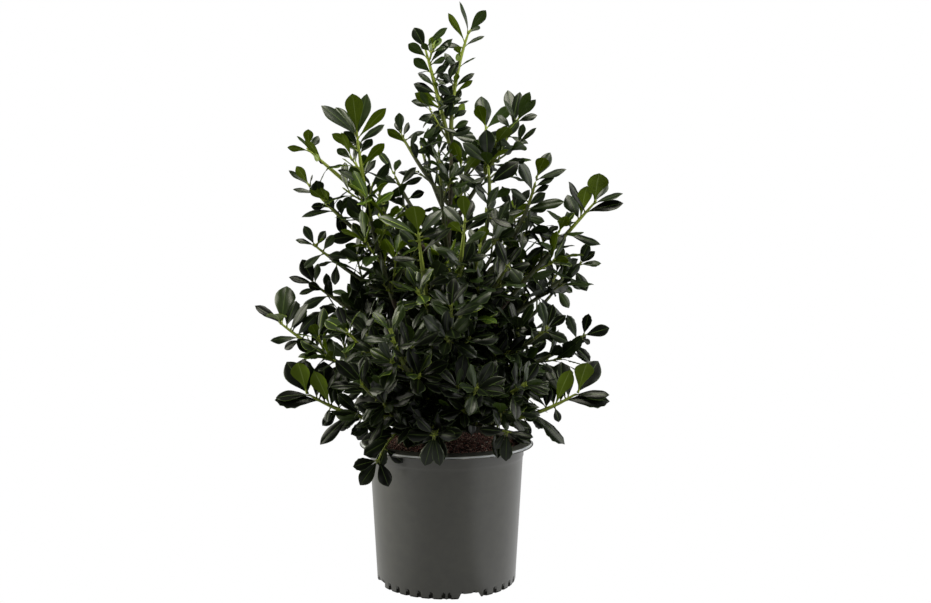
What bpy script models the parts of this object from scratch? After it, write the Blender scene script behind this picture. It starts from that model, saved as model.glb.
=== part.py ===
"""A broad-leaved evergreen shrub in its nursery pot.

Pot, soil, trunk, boughs and leafy masses are each one closed solid. Metres, +Z up: the pot stands
on Z = 0 with its axis on Z, and the front of the shrub faces -Y. Azimuths are degrees from +X
towards +Y, so 0 is right, 90 back, 180 left and 270 front.
"""

import math
import random
from collections import namedtuple

import bmesh
import bpy
from mathutils import Matrix, Vector
from mathutils.bvhtree import BVHTree
from mathutils.kdtree import KDTree

OBJECT_NAME = "potted_holly"
SEED = 7
GAP = 0.0003
WELD = 0.00001
UP = Vector((0.0, 0.0, 1.0))

# Pot: a tapered wall with a shoulder band under a rolled lip. Its floor rests on the ground in the
# middle and is raised in a ring behind the foot of the wall.
POT_HEIGHT = 0.225
TURN_STEPS = 32
LIP_RADIUS = 0.140
LIP_DEPTH = 0.008
LIP_THICKNESS = 0.0025
WALL_THICKNESS = 0.0025
BASE_RADIUS = 0.111
SHOULDER_RADIUS = 0.1245
SHOULDER_HEIGHT = 0.199
SHOULDER_STEP = 0.0012
FOOT_ROUND = 0.0015
REST_RADIUS = 0.080
RING_HEIGHT = 0.0085

# Drainage notches through the foot of the wall, degrees round from +X
NOTCH_AZIMUTHS = (19, 109, 199, 289)
NOTCH_WIDTH = 0.037
NOTCH_HEIGHT = 0.008
NOTCH_RADIUS = 0.110
NOTCH_DEPTH = 0.012

# Soil: bark mix that fills the pot and mounds up to the trunk, by shares of the way out and up
SOIL_EDGE_HEIGHT = 0.2115
SOIL_CROWN_HEIGHT = 0.2215
SOIL_SEAT_RADIUS = 0.016
SOIL_SLOPE = ((0.45, 0.72), (0.80, 0.25))

# Trunk: from a flat cut on the soil, up through the crown, to the foot of the right leader
TRUNK_FOOT = SOIL_CROWN_HEIGHT + GAP
TRUNK_TOP = 0.706
TRUNK_LEAN = 0.0075
TRUNK_SWAY = 0.0018
TRUNK_WAVES = 1.5
TRUNK_POINTS = 13
TRUNK_SIDES = 8
TRUNK_CROWDING = 1.6
FLARE_RADIUS = 0.0135
FLARE_HEIGHT = 0.022
CALIPER_RADIUS = 0.0080
TRUNK_TOP_RADIUS = 0.0028
TRUNK_TAPER = 0.6

# Limbs: a bough has six sides, and the stem inside a mass four
LIMB_POINTS = 25
LIMB_SPAN = 0.055
LIMB_BASE_RADIUS = 0.0018
LIMB_RADIUS_PER_LENGTH = 0.0055
LIMB_TIP_RADIUS = 0.0012
BOUGH_SIDES = 6
STEM_SIDES = 4

# Twigs: three-sided, and lifted towards the light
TWIG_RADIUS = 0.0018
TWIG_TIP_RADIUS = 0.0014
TWIG_SPACING = 0.043
TWIG_LENGTH = 0.072
TWIG_ANGLE = 48
TWIG_LIFT = 0.35
TWIG_LENGTH_JITTER = 0.15
TWIG_ZONE = 0.85
TWIG_SHRINK = 0.35
FIRST_TWIG = 0.3

# Leaves: twelve-faced blades, with places given as shares of the length from the stalk
LEAF_LENGTH = 0.070
LEAF_WIDTH = 0.040
LEAF_THICKNESS = 0.0018
LEAF_THICKEST = 0.26
LEAF_SHOULDERS = (0.27, 0.70)
LEAF_CUP = 0.004
LEAF_DROOP = 0.007
LEAF_SINK = 0.0008
LEAF_CLEARANCE = 0.0005
LEAF_FREE_SHARE = 0.75
LEAF_LIFT = 0.6
LEAFLESS_SHARE = 0.22
TIP_LEAVES = 4
TIP_SPREAD = 25
TIP_SPREAD_STEP = 10
TIP_SPREAD_JITTER = 5
TIP_LEAF_SIZE = 0.92
TIP_LEAF_SIZE_JITTER = 0.06
TWIG_LEAVES = 3
ROSETTE_SPACING = 0.006
STEM_LEAF_SPACING = 0.014
STEM_LEAF_THINNING = 0.15
STEM_LEAF_SPREAD = 62
STEM_LEAF_SPREAD_JITTER = 8
STEM_LEAF_SIZE_JITTER = 0.10
LEAST_FACING = 0.2
GOLDEN_ANGLE = math.radians(137.5)
SPACE_MARGIN = 0.008

# Each limb leaves the trunk at its root height, rises at an angle, and turns at a share of its
# reach towards its tip. The bare share of its length is a bough and the rest carries a mass.
Limb = namedtuple("Limb", "name azimuth reach height root bend rise bare")
LIMBS = (
    Limb("leader_right", 0, 0.032, 0.882, TRUNK_TOP, 0.35, 84, 0.0),
    Limb("leader_left", 200, 0.035, 0.846, 0.690, 0.70, 74, 0.0),
    Limb("top_left_inner", 147, 0.092, 0.724, 0.600, 0.50, 50, 0.0),
    Limb("top_right_inner", 50, 0.105, 0.736, 0.612, 0.60, 38, 0.0),
    Limb("top_right", 14, 0.120, 0.742, 0.560, 0.60, 55, 0.0),
    Limb("top_front", 262, 0.075, 0.665, 0.520, 0.60, 50, 0.0),
    Limb("top_back", 112, 0.120, 0.712, 0.575, 0.60, 42, 0.0),
    Limb("right_inner", 317, 0.087, 0.670, 0.430, 1.30, 42, 0.0),
    Limb("right_high", 0, 0.146, 0.644, 0.420, 0.80, 40, 0.0),
    Limb("right_main", 358, 0.240, 0.607, 0.335, 0.55, 49, 0.42),
    Limb("right_middle", 15, 0.232, 0.506, 0.368, 0.60, 23, 0.40),
    Limb("right_rear", 33, 0.238, 0.459, 0.325, 0.60, 20, 0.0),
    Limb("right_lower", 6, 0.227, 0.392, 0.295, 0.60, 14, 0.0),
    Limb("right_low", 352, 0.213, 0.304, 0.245, 0.60, 6, 0.42),
    Limb("left_inner", 146, 0.124, 0.640, 0.520, 0.55, 41, 0.0),
    Limb("left_main", 192, 0.146, 0.715, 0.292, 0.75, 49, 0.40),
    Limb("left_high", 173, 0.233, 0.694, 0.500, 0.60, 41, 0.40),
    Limb("left_upper", 175, 0.226, 0.632, 0.440, 0.55, 40, 0.0),
    Limb("left_middle", 182, 0.219, 0.537, 0.400, 0.60, 28, 0.0),
    Limb("left_rear", 165, 0.230, 0.472, 0.350, 0.60, 23, 0.0),
    Limb("left_lower", 180, 0.269, 0.411, 0.264, 0.60, 21, 0.42),
    Limb("left_low", 188, 0.218, 0.301, 0.243, 0.60, 4, 0.42),
    Limb("left_hanging", 229, 0.168, 0.212, 0.254, 0.80, 8, 0.0),
    Limb("front_main", 258, 0.194, 0.544, 0.314, 0.85, 26, 0.40),
    Limb("front_fork", 279, 0.172, 0.558, 0.344, 0.80, 34, 0.0),
    Limb("front_right_inner", 293, 0.130, 0.536, 0.388, 0.75, 36, 0.0),
    Limb("front_right_upper", 308, 0.152, 0.507, 0.364, 0.60, 41, 0.0),
    Limb("front_right", 327, 0.183, 0.409, 0.312, 0.60, 20, 0.0),
    Limb("front_right_lower", 308, 0.190, 0.332, 0.274, 0.60, 8, 0.0),
    Limb("front_right_low", 300, 0.180, 0.262, 0.251, 0.60, 6, 0.0),
    Limb("front_middle", 272, 0.200, 0.450, 0.329, 0.80, 18, 0.0),
    Limb("front_lower", 282, 0.211, 0.334, 0.262, 0.60, 12, 0.0),
    Limb("front_low", 260, 0.176, 0.266, 0.240, 0.60, 14, 0.0),
    Limb("front_left_upper", 250, 0.231, 0.417, 0.283, 0.70, 12, 0.0),
    Limb("front_left", 221, 0.199, 0.410, 0.309, 0.60, 8, 0.0),
    Limb("front_left_lower", 234, 0.215, 0.338, 0.262, 0.75, 8, 0.0),
    Limb("back_high_right", 50, 0.180, 0.585, 0.410, 0.60, 38, 0.0),
    Limb("back_high", 88, 0.190, 0.610, 0.435, 0.60, 38, 0.0),
    Limb("back_high_left", 128, 0.195, 0.590, 0.418, 0.60, 36, 0.0),
    Limb("back_middle_right", 62, 0.230, 0.450, 0.316, 0.60, 22, 0.40),
    Limb("back_middle", 96, 0.240, 0.455, 0.345, 0.60, 22, 0.40),
    Limb("back_middle_left", 132, 0.240, 0.445, 0.325, 0.60, 20, 0.40),
    Limb("back_low_right", 48, 0.220, 0.320, 0.258, 0.60, 9, 0.0),
    Limb("back_low", 90, 0.220, 0.310, 0.247, 0.60, 9, 0.0),
    Limb("back_low_left", 135, 0.220, 0.325, 0.258, 0.60, 9, 0.0),
)

# Finishes: colour, roughness, metallic
FINISHES = {
    "pot_plastic": ((0.045, 0.045, 0.040, 1.0), 0.45, 0.0),
    "bark_mix": ((0.060, 0.022, 0.017, 1.0), 0.95, 0.0),
    "bark": ((0.090, 0.060, 0.035, 1.0), 0.80, 0.0),
    "foliage": ((0.012, 0.030, 0.010, 1.0), 0.35, 0.0),
}

Occupant = namedtuple("Occupant", "owner tree centre reach")
Leaf = namedtuple("Leaf", "base direction facing size")
Twig = namedtuple("Twig", "base direction length")


def make_collection(name):
    collection = bpy.data.collections.new(name)
    bpy.context.scene.collection.children.link(collection)
    return collection


def make_material(name):
    colour, roughness, metallic = FINISHES[name]
    material = bpy.data.materials.new(name)
    material.use_nodes = True
    shader = material.node_tree.nodes["Principled BSDF"]
    shader.inputs["Base Color"].default_value = colour
    shader.inputs["Roughness"].default_value = roughness
    shader.inputs["Metallic"].default_value = metallic
    return material


def add_object(name, data, collection, material=None):
    added = bpy.data.objects.new(name, data)
    collection.objects.link(added)
    if material is not None:
        data.materials.append(material)
    return added


def hide_cutter(cutter):
    cutter.hide_render = True
    cutter.display_type = "WIRE"


def evaluated_mesh(source):
    depsgraph = bpy.context.evaluated_depsgraph_get()
    depsgraph.update()
    return bpy.data.meshes.new_from_object(source.evaluated_get(depsgraph))


def apply_modifiers(target):
    mesh = evaluated_mesh(target)
    mesh.name = target.name
    target.modifiers.clear()
    target.data = mesh


def solid_of(mesh):
    solid = bmesh.new()
    solid.from_mesh(mesh)
    return solid


def around(azimuth, radius, height):
    angle = math.radians(azimuth)
    return Vector((radius * math.cos(angle), radius * math.sin(angle), height))


# Pot and soil

def turn(name, profile, collection, material):
    """Screws a profile of (radius, height) points round Z."""
    mesh = bpy.data.meshes.new(name)
    points = [(radius, 0.0, height) for radius, height in profile]
    edges = [(i, i + 1) for i in range(len(points) - 1)]
    mesh.from_pydata(points, edges, [])
    turned = add_object(name, mesh, collection, material)
    screw = turned.modifiers.new("turn", "SCREW")
    screw.steps = TURN_STEPS
    screw.render_steps = TURN_STEPS
    screw.use_merge_vertices = True
    screw.merge_threshold = WELD
    screw.use_smooth_shade = True
    return turned


def wall_radius(height):
    """Outer radius of the tapered wall, without its shoulder band."""
    share = height / SHOULDER_HEIGHT
    return BASE_RADIUS + (SHOULDER_RADIUS - SHOULDER_STEP - BASE_RADIUS) * share


def cavity_radius(height):
    return wall_radius(height) - WALL_THICKNESS


def pot_profile():
    """From the middle of the cavity's floor, up and over the lip, down to the middle of the base."""
    lip_low = POT_HEIGHT - LIP_DEPTH
    lip_inner = LIP_RADIUS - LIP_THICKNESS
    lip_ceiling = POT_HEIGHT - 2 * LIP_THICKNESS
    ring_floor = RING_HEIGHT + WALL_THICKNESS
    mouth = cavity_radius(lip_low)
    return [
        (0.0, WALL_THICKNESS),
        (REST_RADIUS - WALL_THICKNESS, WALL_THICKNESS),
        (REST_RADIUS, ring_floor),
        (cavity_radius(ring_floor), ring_floor),
        (mouth, lip_low),
        (mouth + WALL_THICKNESS / 2, POT_HEIGHT - LIP_THICKNESS / 2),
        (lip_inner - LIP_THICKNESS, POT_HEIGHT - LIP_THICKNESS),
        (lip_inner, POT_HEIGHT),
        (LIP_RADIUS - LIP_THICKNESS / 4, POT_HEIGHT - LIP_THICKNESS / 2),
        (LIP_RADIUS, POT_HEIGHT - LIP_DEPTH / 2),
        (LIP_RADIUS - LIP_THICKNESS / 4, lip_low),
        (lip_inner, lip_low),
        (lip_inner - LIP_THICKNESS / 2, lip_ceiling),
        (SHOULDER_RADIUS + LIP_THICKNESS, lip_ceiling),
        (SHOULDER_RADIUS, lip_low - LIP_THICKNESS / 2),
        (SHOULDER_RADIUS - SHOULDER_STEP / 4, SHOULDER_HEIGHT + SHOULDER_STEP),
        (wall_radius(SHOULDER_HEIGHT), SHOULDER_HEIGHT - SHOULDER_STEP),
        (wall_radius(FOOT_ROUND), FOOT_ROUND),
        (wall_radius(0.0) - FOOT_ROUND / 2, 0.0),
        (cavity_radius(0.0), 0.0),
        (cavity_radius(RING_HEIGHT), RING_HEIGHT),
        (REST_RADIUS + WALL_THICKNESS, RING_HEIGHT),
        (REST_RADIUS, 0.0),
        (0.0, 0.0),
    ]


def soil_profile():
    """Fills the pot's cavity, clear of it all over, under a mound with a flat seat for the trunk."""
    bottom = WALL_THICKNESS + GAP
    ring_floor = RING_HEIGHT + WALL_THICKNESS + GAP
    rise = SOIL_CROWN_HEIGHT - SOIL_EDGE_HEIGHT
    edge = cavity_radius(SOIL_EDGE_HEIGHT) - GAP
    slope = [(edge * out, SOIL_EDGE_HEIGHT + rise * up) for out, up in SOIL_SLOPE]
    return [
        (0.0, SOIL_CROWN_HEIGHT),
        (SOIL_SEAT_RADIUS, SOIL_CROWN_HEIGHT),
        *slope,
        (edge, SOIL_EDGE_HEIGHT),
        (cavity_radius(ring_floor) - GAP, ring_floor),
        (REST_RADIUS - GAP, ring_floor),
        (REST_RADIUS - WALL_THICKNESS - GAP, bottom),
        (0.0, bottom),
    ]


def add_notch_cutter(index, azimuth, collection):
    block = bmesh.new()
    bmesh.ops.create_cube(block, size=1.0)
    bmesh.ops.scale(block, vec=(NOTCH_DEPTH, NOTCH_WIDTH, 2 * NOTCH_HEIGHT), verts=block.verts)
    mesh = bpy.data.meshes.new(f"notch_cutter_{index}")
    block.to_mesh(mesh)
    block.free()
    cutter = add_object(mesh.name, mesh, collection)
    cutter.location = around(azimuth, NOTCH_RADIUS, 0.0)
    cutter.rotation_euler.z = math.radians(azimuth)
    hide_cutter(cutter)
    return cutter


def build_pot(collection, cutters, material):
    pot = turn("pot", pot_profile(), collection, material)
    for index, azimuth in enumerate(NOTCH_AZIMUTHS):
        cut = pot.modifiers.new(f"notch_{index}", "BOOLEAN")
        cut.operation = "DIFFERENCE"
        cut.object = add_notch_cutter(index, azimuth, cutters)
    return pot


# Trunk and limbs

def tube_mesh(name, points, radii, sides, collection):
    """A tapered tube with filled ends, from a curve, as a welded mesh."""
    curve = bpy.data.curves.new(name, "CURVE")
    curve.dimensions = "3D"
    curve.bevel_depth = 1.0
    curve.bevel_resolution = (sides - 4) // 2
    curve.use_fill_caps = True
    spline = curve.splines.new("POLY")
    spline.points.add(len(points) - 1)
    for spline_point, point, radius in zip(spline.points, points, radii):
        spline_point.co = (*point, 1.0)
        spline_point.radius = radius
    guide = add_object(f"{name}_guide", curve, collection)
    mesh = evaluated_mesh(guide)
    mesh.name = name
    bpy.data.objects.remove(guide)
    bpy.data.curves.remove(curve)
    tube = solid_of(mesh)
    bmesh.ops.remove_doubles(tube, verts=tube.verts, dist=WELD)
    bmesh.ops.recalc_face_normals(tube, faces=tube.faces)
    tube.to_mesh(mesh)
    tube.free()
    return mesh


def trunk_share(height):
    return min(1.0, max(0.0, (height - TRUNK_FOOT) / (TRUNK_TOP - TRUNK_FOOT)))


def trunk_point(height):
    """The trunk's axis, upright at its foot, which sways a little and leans right at its top."""
    share = trunk_share(height)
    sway = TRUNK_SWAY * math.sqrt(share) * share * math.sin(share * TRUNK_WAVES * math.tau)
    return Vector((TRUNK_LEAN * share * share + sway, -sway, height))


def trunk_radius(height):
    """Even taper, with a flare where the trunk meets the soil."""
    taper = (CALIPER_RADIUS - TRUNK_TOP_RADIUS) * trunk_share(height) ** TRUNK_TAPER
    flare = (FLARE_RADIUS - CALIPER_RADIUS) * math.exp((TRUNK_FOOT - height) / FLARE_HEIGHT)
    return CALIPER_RADIUS - taper + flare


def trunk_mesh(name, growth, collection):
    """The trunk, grown all round by a clearance; its rings crowd together at the flare."""
    foot = TRUNK_FOOT - growth
    span = TRUNK_TOP + growth - foot
    shares = [(i / (TRUNK_POINTS - 1)) ** TRUNK_CROWDING for i in range(TRUNK_POINTS)]
    heights = [foot + span * share for share in shares]
    points = [trunk_point(height) for height in heights]
    radii = [trunk_radius(height) + growth for height in heights]
    return tube_mesh(name, points, radii, TRUNK_SIDES, collection)


def build_trunk(collection, material):
    mesh = trunk_mesh("trunk", 0.0, collection)
    mesh.shade_smooth()
    return add_object(mesh.name, mesh, collection, material)


def build_clearance(cutters):
    """Cuts each limb off clear of the trunk."""
    mesh = trunk_mesh("trunk_clearance", GAP, cutters)
    cutter = add_object(mesh.name, mesh, cutters)
    hide_cutter(cutter)
    return cutter


def limb_path(limb):
    """A smooth curve from the trunk's axis, out at the limb's rise, then round to its tip."""
    turning = limb.bend * limb.reach
    start = trunk_point(limb.root)
    elbow = around(limb.azimuth, turning, limb.root + turning * math.tan(math.radians(limb.rise)))
    tip = around(limb.azimuth, limb.reach, limb.height)
    path = []
    for i in range(LIMB_POINTS):
        t = i / (LIMB_POINTS - 1)
        path.append(start * (1 - t) ** 2 + elbow * 2 * t * (1 - t) + tip * t * t)
    return path


def path_length(path):
    return sum((b - a).length for a, b in zip(path, path[1:]))


def walk(path, distance):
    """The point at a distance along the path, and the direction there."""
    left = distance
    for a, b in zip(path, path[1:]):
        step = (b - a).length
        if left <= step:
            break
        left -= step
    return a + (b - a) * min(1.0, left / step), (b - a).normalized()


def limb_radius(length, distance):
    root = LIMB_BASE_RADIUS + LIMB_RADIUS_PER_LENGTH * length
    return root + (LIMB_TIP_RADIUS - root) * distance / length


def build_limb_piece(name, path, start, end, sides, collection, material):
    """The tapered stretch of a limb between two distances along its path."""
    length = path_length(path)
    steps = max(2, math.ceil((end - start) / LIMB_SPAN))
    distances = [start + (end - start) * i / steps for i in range(steps + 1)]
    points = [walk(path, distance)[0] for distance in distances]
    radii = [limb_radius(length, distance) for distance in distances]
    mesh = tube_mesh(name, points, radii, sides, collection)
    mesh.shade_smooth()
    return add_object(name, mesh, collection, material)


def cut_from_trunk(piece, clearance):
    cut = piece.modifiers.new("trunk_clearance", "BOOLEAN")
    cut.operation = "DIFFERENCE"
    cut.object = clearance
    apply_modifiers(piece)


# Twigs and leaves

def side_direction(direction, roll):
    """A unit vector square to a direction, turned about it by an angle."""
    flat = direction.cross(UP)
    if flat.length < WELD:
        flat = Vector((1.0, 0.0, 0.0))
    flat.normalize()
    return flat * math.cos(roll) + direction.cross(flat) * math.sin(roll)


def leaf_solid(leaf, clearance=0.0):
    """A hexagonal blade with a ridge on both sides, cupped, and drooping towards its tip."""
    blade = bmesh.new()
    bmesh.ops.create_uvsphere(blade, u_segments=6, v_segments=2, radius=1.0)
    for vertex in blade.verts:
        left, along, over = vertex.co
        side = -round(left)
        if round(over):
            share = LEAF_THICKEST
        elif side:
            share = LEAF_SHOULDERS[along > 0]
        else:
            share = (along + 1) / 2
        bow = LEAF_CUP * abs(side) - LEAF_DROOP * share * share
        vertex.co = (
            share * (LEAF_LENGTH * leaf.size + clearance) - LEAF_SINK,
            side * (LEAF_WIDTH * leaf.size / 2 + clearance),
            round(over) * (LEAF_THICKNESS / 2 + clearance) + bow * leaf.size,
        )
    across = leaf.facing.cross(leaf.direction).normalized()
    normal = leaf.direction.cross(across)
    turned = Matrix((leaf.direction, across, normal)).transposed().to_4x4()
    blade.transform(Matrix.Translation(leaf.base) @ turned)
    return blade


def twig_solid(twig, clearance=0.0):
    solid = bmesh.new()
    bmesh.ops.create_cone(
        solid,
        cap_ends=True,
        segments=3,
        radius1=TWIG_RADIUS + clearance,
        radius2=TWIG_TIP_RADIUS + clearance,
        depth=twig.length,
    )
    aim = twig.direction.to_track_quat("Z", "Y").to_matrix().to_4x4()
    middle = twig.base + twig.direction * twig.length / 2
    solid.transform(Matrix.Translation(middle) @ aim)
    return solid


def place_leaf(point, along, roll, spread, size):
    """A leaf that leaves its stem at a spread angle, with its upper side to the stem's tip."""
    outward = side_direction(along, roll)
    angle = math.radians(spread)
    direction = along * math.cos(angle) + outward * math.sin(angle)
    facing = (along + UP * LEAF_LIFT).normalized()
    if facing.cross(direction).length < LEAST_FACING:
        facing = -outward
    return Leaf(point, direction, facing, size)


def rosette(point, along, roll, count, rng):
    """The leaves round a tip, each lower down and wider spread than the last."""
    for i in range(count):
        base = point - along * ROSETTE_SPACING * i
        spread = TIP_SPREAD + TIP_SPREAD_STEP * i + rng.uniform(-TIP_SPREAD_JITTER, TIP_SPREAD_JITTER)
        size = TIP_LEAF_SIZE + rng.uniform(-TIP_LEAF_SIZE_JITTER, TIP_LEAF_SIZE_JITTER)
        yield place_leaf(base, along, roll + i * GOLDEN_ANGLE, spread, size)


def stem_leaves(path, start, end, roll, rng):
    """Leaves that spiral down the stem from below its tip, further and further apart."""
    count = TIP_LEAVES
    distance = end - TIP_LEAVES * ROSETTE_SPACING
    while distance > start:
        point, along = walk(path, distance)
        spread = STEM_LEAF_SPREAD + rng.uniform(-STEM_LEAF_SPREAD_JITTER, STEM_LEAF_SPREAD_JITTER)
        size = 1.0 + rng.uniform(-STEM_LEAF_SIZE_JITTER, STEM_LEAF_SIZE_JITTER)
        yield place_leaf(point, along, roll + count * GOLDEN_ANGLE, spread, size)
        distance -= STEM_LEAF_SPACING * (1.0 + STEM_LEAF_THINNING * (count - TIP_LEAVES))
        count += 1


def side_twigs(path, start, end, roll, rng):
    """Twigs that spiral up the stem, shorter towards its tip."""
    room = (end - start) * TWIG_ZONE
    count = round(room / TWIG_SPACING)
    angle = math.radians(TWIG_ANGLE)
    for i in range(count):
        share = (i + FIRST_TWIG) / count
        base, along = walk(path, start + room * share)
        outward = side_direction(along, roll + i * GOLDEN_ANGLE)
        direction = along * math.cos(angle) + outward * math.sin(angle) + UP * TWIG_LIFT
        length = TWIG_LENGTH * (1.0 - TWIG_SHRINK * share)
        length *= rng.uniform(1 - TWIG_LENGTH_JITTER, 1 + TWIG_LENGTH_JITTER)
        yield Twig(base, direction.normalized(), length)


# Room in the crown

def centre_and_reach(solid):
    corners = [vertex.co for vertex in solid.verts]
    centre = sum(corners, Vector()) / len(corners)
    return centre, max((corner - centre).length for corner in corners)


class Crown:
    """What fills the crown so far, and the tests that keep each mass to its own space."""

    def __init__(self, paths):
        self.paths = paths
        self.occupants = []
        self.owners = [name for name, path in paths.items() for _ in path]
        self.axes = KDTree(len(self.owners))
        for index, point in enumerate(point for path in paths.values() for point in path):
            self.axes.insert(point, index)
        self.axes.balance()

    def occupy(self, owner, solid):
        self.occupants.append(Occupant(owner, BVHTree.FromBMesh(solid), *centre_and_reach(solid)))

    def in_own_space(self, owner, solid):
        """Each corner lies nearer its own limb than any other, within a small margin."""
        for vertex in solid.verts:
            _, index, distance = self.axes.find(vertex.co)
            if self.owners[index] == owner:
                continue
            own = min((point - vertex.co).length for point in self.paths[owner])
            if own > distance + SPACE_MARGIN:
                return False
        return True

    def is_clear(self, owner, solid):
        """Nothing of another owner crosses the solid."""
        centre, reach = centre_and_reach(solid)
        tree = BVHTree.FromBMesh(solid)
        for other in self.occupants:
            if other.owner == owner or (other.centre - centre).length > reach + other.reach:
                continue
            if tree.overlap(other.tree):
                return False
        return True

    def has_room(self, owner, solid):
        return self.in_own_space(owner, solid) and self.is_clear(owner, solid)


class Mass:
    """One limb's foliage: its stem, and the twigs and leaves that find room."""

    def __init__(self, limb):
        self.name = f"mass_{limb.name}"
        self.path = limb_path(limb)
        self.length = path_length(self.path)
        self.bare_length = self.length * limb.bare
        self.leafy_start = max(self.bare_length, self.length * LEAFLESS_SHARE)
        self.rng = random.Random(f"{limb.name} {SEED}")
        self.roll = self.rng.uniform(0, math.tau)
        self.solids = []
        self.leaf_trees = []

    def add_leaf(self, crown, leaf):
        """Keeps a leaf that has room and, past its root, crosses no other leaf of its mass."""
        tested = leaf_solid(leaf, LEAF_CLEARANCE)
        root = leaf.direction * LEAF_LENGTH * leaf.size * (1 - LEAF_FREE_SHARE)
        outer = leaf_solid(leaf._replace(base=leaf.base + root, size=leaf.size * LEAF_FREE_SHARE))
        outer_tree = BVHTree.FromBMesh(outer)
        outer.free()
        kept = crown.has_room(self.name, tested)
        kept = kept and not any(outer_tree.overlap(tree) for tree in self.leaf_trees)
        if kept:
            self.solids.append(leaf_solid(leaf))
            self.leaf_trees.append(BVHTree.FromBMesh(tested))
            crown.occupy(self.name, tested)
        tested.free()
        return kept

    def add_twig(self, crown, twig):
        """Keeps a twig that has room, and room for a leaf."""
        tested = twig_solid(twig, LEAF_CLEARANCE)
        if crown.has_room(self.name, tested):
            tip = twig.base + twig.direction * (twig.length - TWIG_TIP_RADIUS)
            roll = self.rng.uniform(0, math.tau)
            leaves = list(rosette(tip, twig.direction, roll, TWIG_LEAVES, self.rng))
            kept = [self.add_leaf(crown, leaf) for leaf in leaves]
            if any(kept):
                self.solids.append(twig_solid(twig))
                crown.occupy(self.name, tested)
        tested.free()

    def grow_tip(self, crown):
        point, along = walk(self.path, self.length - LIMB_TIP_RADIUS)
        for leaf in rosette(point, along, self.roll, TIP_LEAVES, self.rng):
            self.add_leaf(crown, leaf)

    def grow_twigs(self, crown):
        for twig in side_twigs(self.path, self.leafy_start, self.length, self.roll, self.rng):
            self.add_twig(crown, twig)

    def grow_stem_leaves(self, crown):
        for leaf in stem_leaves(self.path, self.leafy_start, self.length, self.roll, self.rng):
            self.add_leaf(crown, leaf)


def shells_of(solid):
    """The vertices of each connected surface, the largest surface last."""
    unseen = set(solid.verts)
    shells = []
    while unseen:
        front = [unseen.pop()]
        shell = set(front)
        while front:
            vertex = front.pop()
            found = {edge.other_vert(vertex) for edge in vertex.link_edges} & unseen
            unseen -= found
            shell |= found
            front.extend(found)
        shells.append(shell)
    return sorted(shells, key=len)


def keep_largest_shell(mesh):
    """Drops loose scraps, and the walls of hollows that the union sealed."""
    solid = solid_of(mesh)
    for shell in shells_of(solid)[:-1]:
        bmesh.ops.delete(solid, geom=list(shell), context="VERTS")
    solid.to_mesh(mesh)
    solid.free()


def fuse(mass, stem):
    """One union of the mass's stem with all its twigs and leaves."""
    loose = make_collection(f"{mass.name}_loose")
    for index, solid in enumerate(mass.solids):
        mesh = bpy.data.meshes.new(f"{mass.name}_{index}")
        solid.to_mesh(mesh)
        solid.free()
        add_object(mesh.name, mesh, loose)
    union = stem.modifiers.new("twigs_and_leaves", "BOOLEAN")
    union.operation = "UNION"
    union.operand_type = "COLLECTION"
    union.collection = loose
    apply_modifiers(stem)
    for piece in list(loose.objects):
        bpy.data.objects.remove(piece)
    bpy.data.collections.remove(loose)
    keep_largest_shell(stem.data)


def build_bough(limb, mass, clearance, collection, material):
    name = f"bough_{limb.name}"
    bough = build_limb_piece(name, mass.path, 0.0, mass.bare_length, BOUGH_SIDES, collection, material)
    cut_from_trunk(bough, clearance)
    return bough


def build_stem(limb, mass, clearance, collection, material):
    """The limb's stretch inside its mass, clear of its bough's tip or of the trunk."""
    start = mass.bare_length + GAP if limb.bare else 0.0
    stem = build_limb_piece(mass.name, mass.path, start, mass.length, STEM_SIDES, collection, material)
    if not limb.bare:
        cut_from_trunk(stem, clearance)
    return stem


def build_crown(fixed, clearance, collection, materials):
    """Boughs and stems first, then leaves at every tip, then the twigs, then leaves along stems."""
    masses = [Mass(limb) for limb in LIMBS]
    crown = Crown({mass.name: mass.path for mass in masses})
    stems = []
    for limb, mass in zip(LIMBS, masses):
        if limb.bare:
            fixed.append(build_bough(limb, mass, clearance, collection, materials["bark"]))
        stems.append(build_stem(limb, mass, clearance, collection, materials["foliage"]))
    for piece in fixed + stems:
        crown.occupy(piece.name, solid_of(evaluated_mesh(piece)))
    for grow in (Mass.grow_tip, Mass.grow_twigs, Mass.grow_stem_leaves):
        for mass in masses:
            grow(mass, crown)
    for mass, stem in zip(masses, stems):
        fuse(mass, stem)


def main():
    for leftover in list(bpy.data.objects):
        bpy.data.objects.remove(leftover)
    collection = make_collection(OBJECT_NAME)
    cutters = make_collection(f"{OBJECT_NAME}_cutters")
    materials = {name: make_material(name) for name in FINISHES}
    pot = build_pot(collection, cutters, materials["pot_plastic"])
    soil = turn("soil", soil_profile(), collection, materials["bark_mix"])
    trunk = build_trunk(collection, materials["bark"])
    clearance = build_clearance(cutters)
    build_crown([pot, soil, trunk], clearance, collection, materials)


main()
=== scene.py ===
"""Looks of a potted broad-leaved evergreen: pot, bark mix, bark, shoots and leaves, light and camera.

Metres, +Z up, with the pot's axis on Z and the front of the shrub towards -Y. Azimuths are degrees
from +X towards +Y.
"""
import math
import random
from collections import namedtuple

import bmesh
import bpy
import numpy as np
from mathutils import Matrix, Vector, noise


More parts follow.
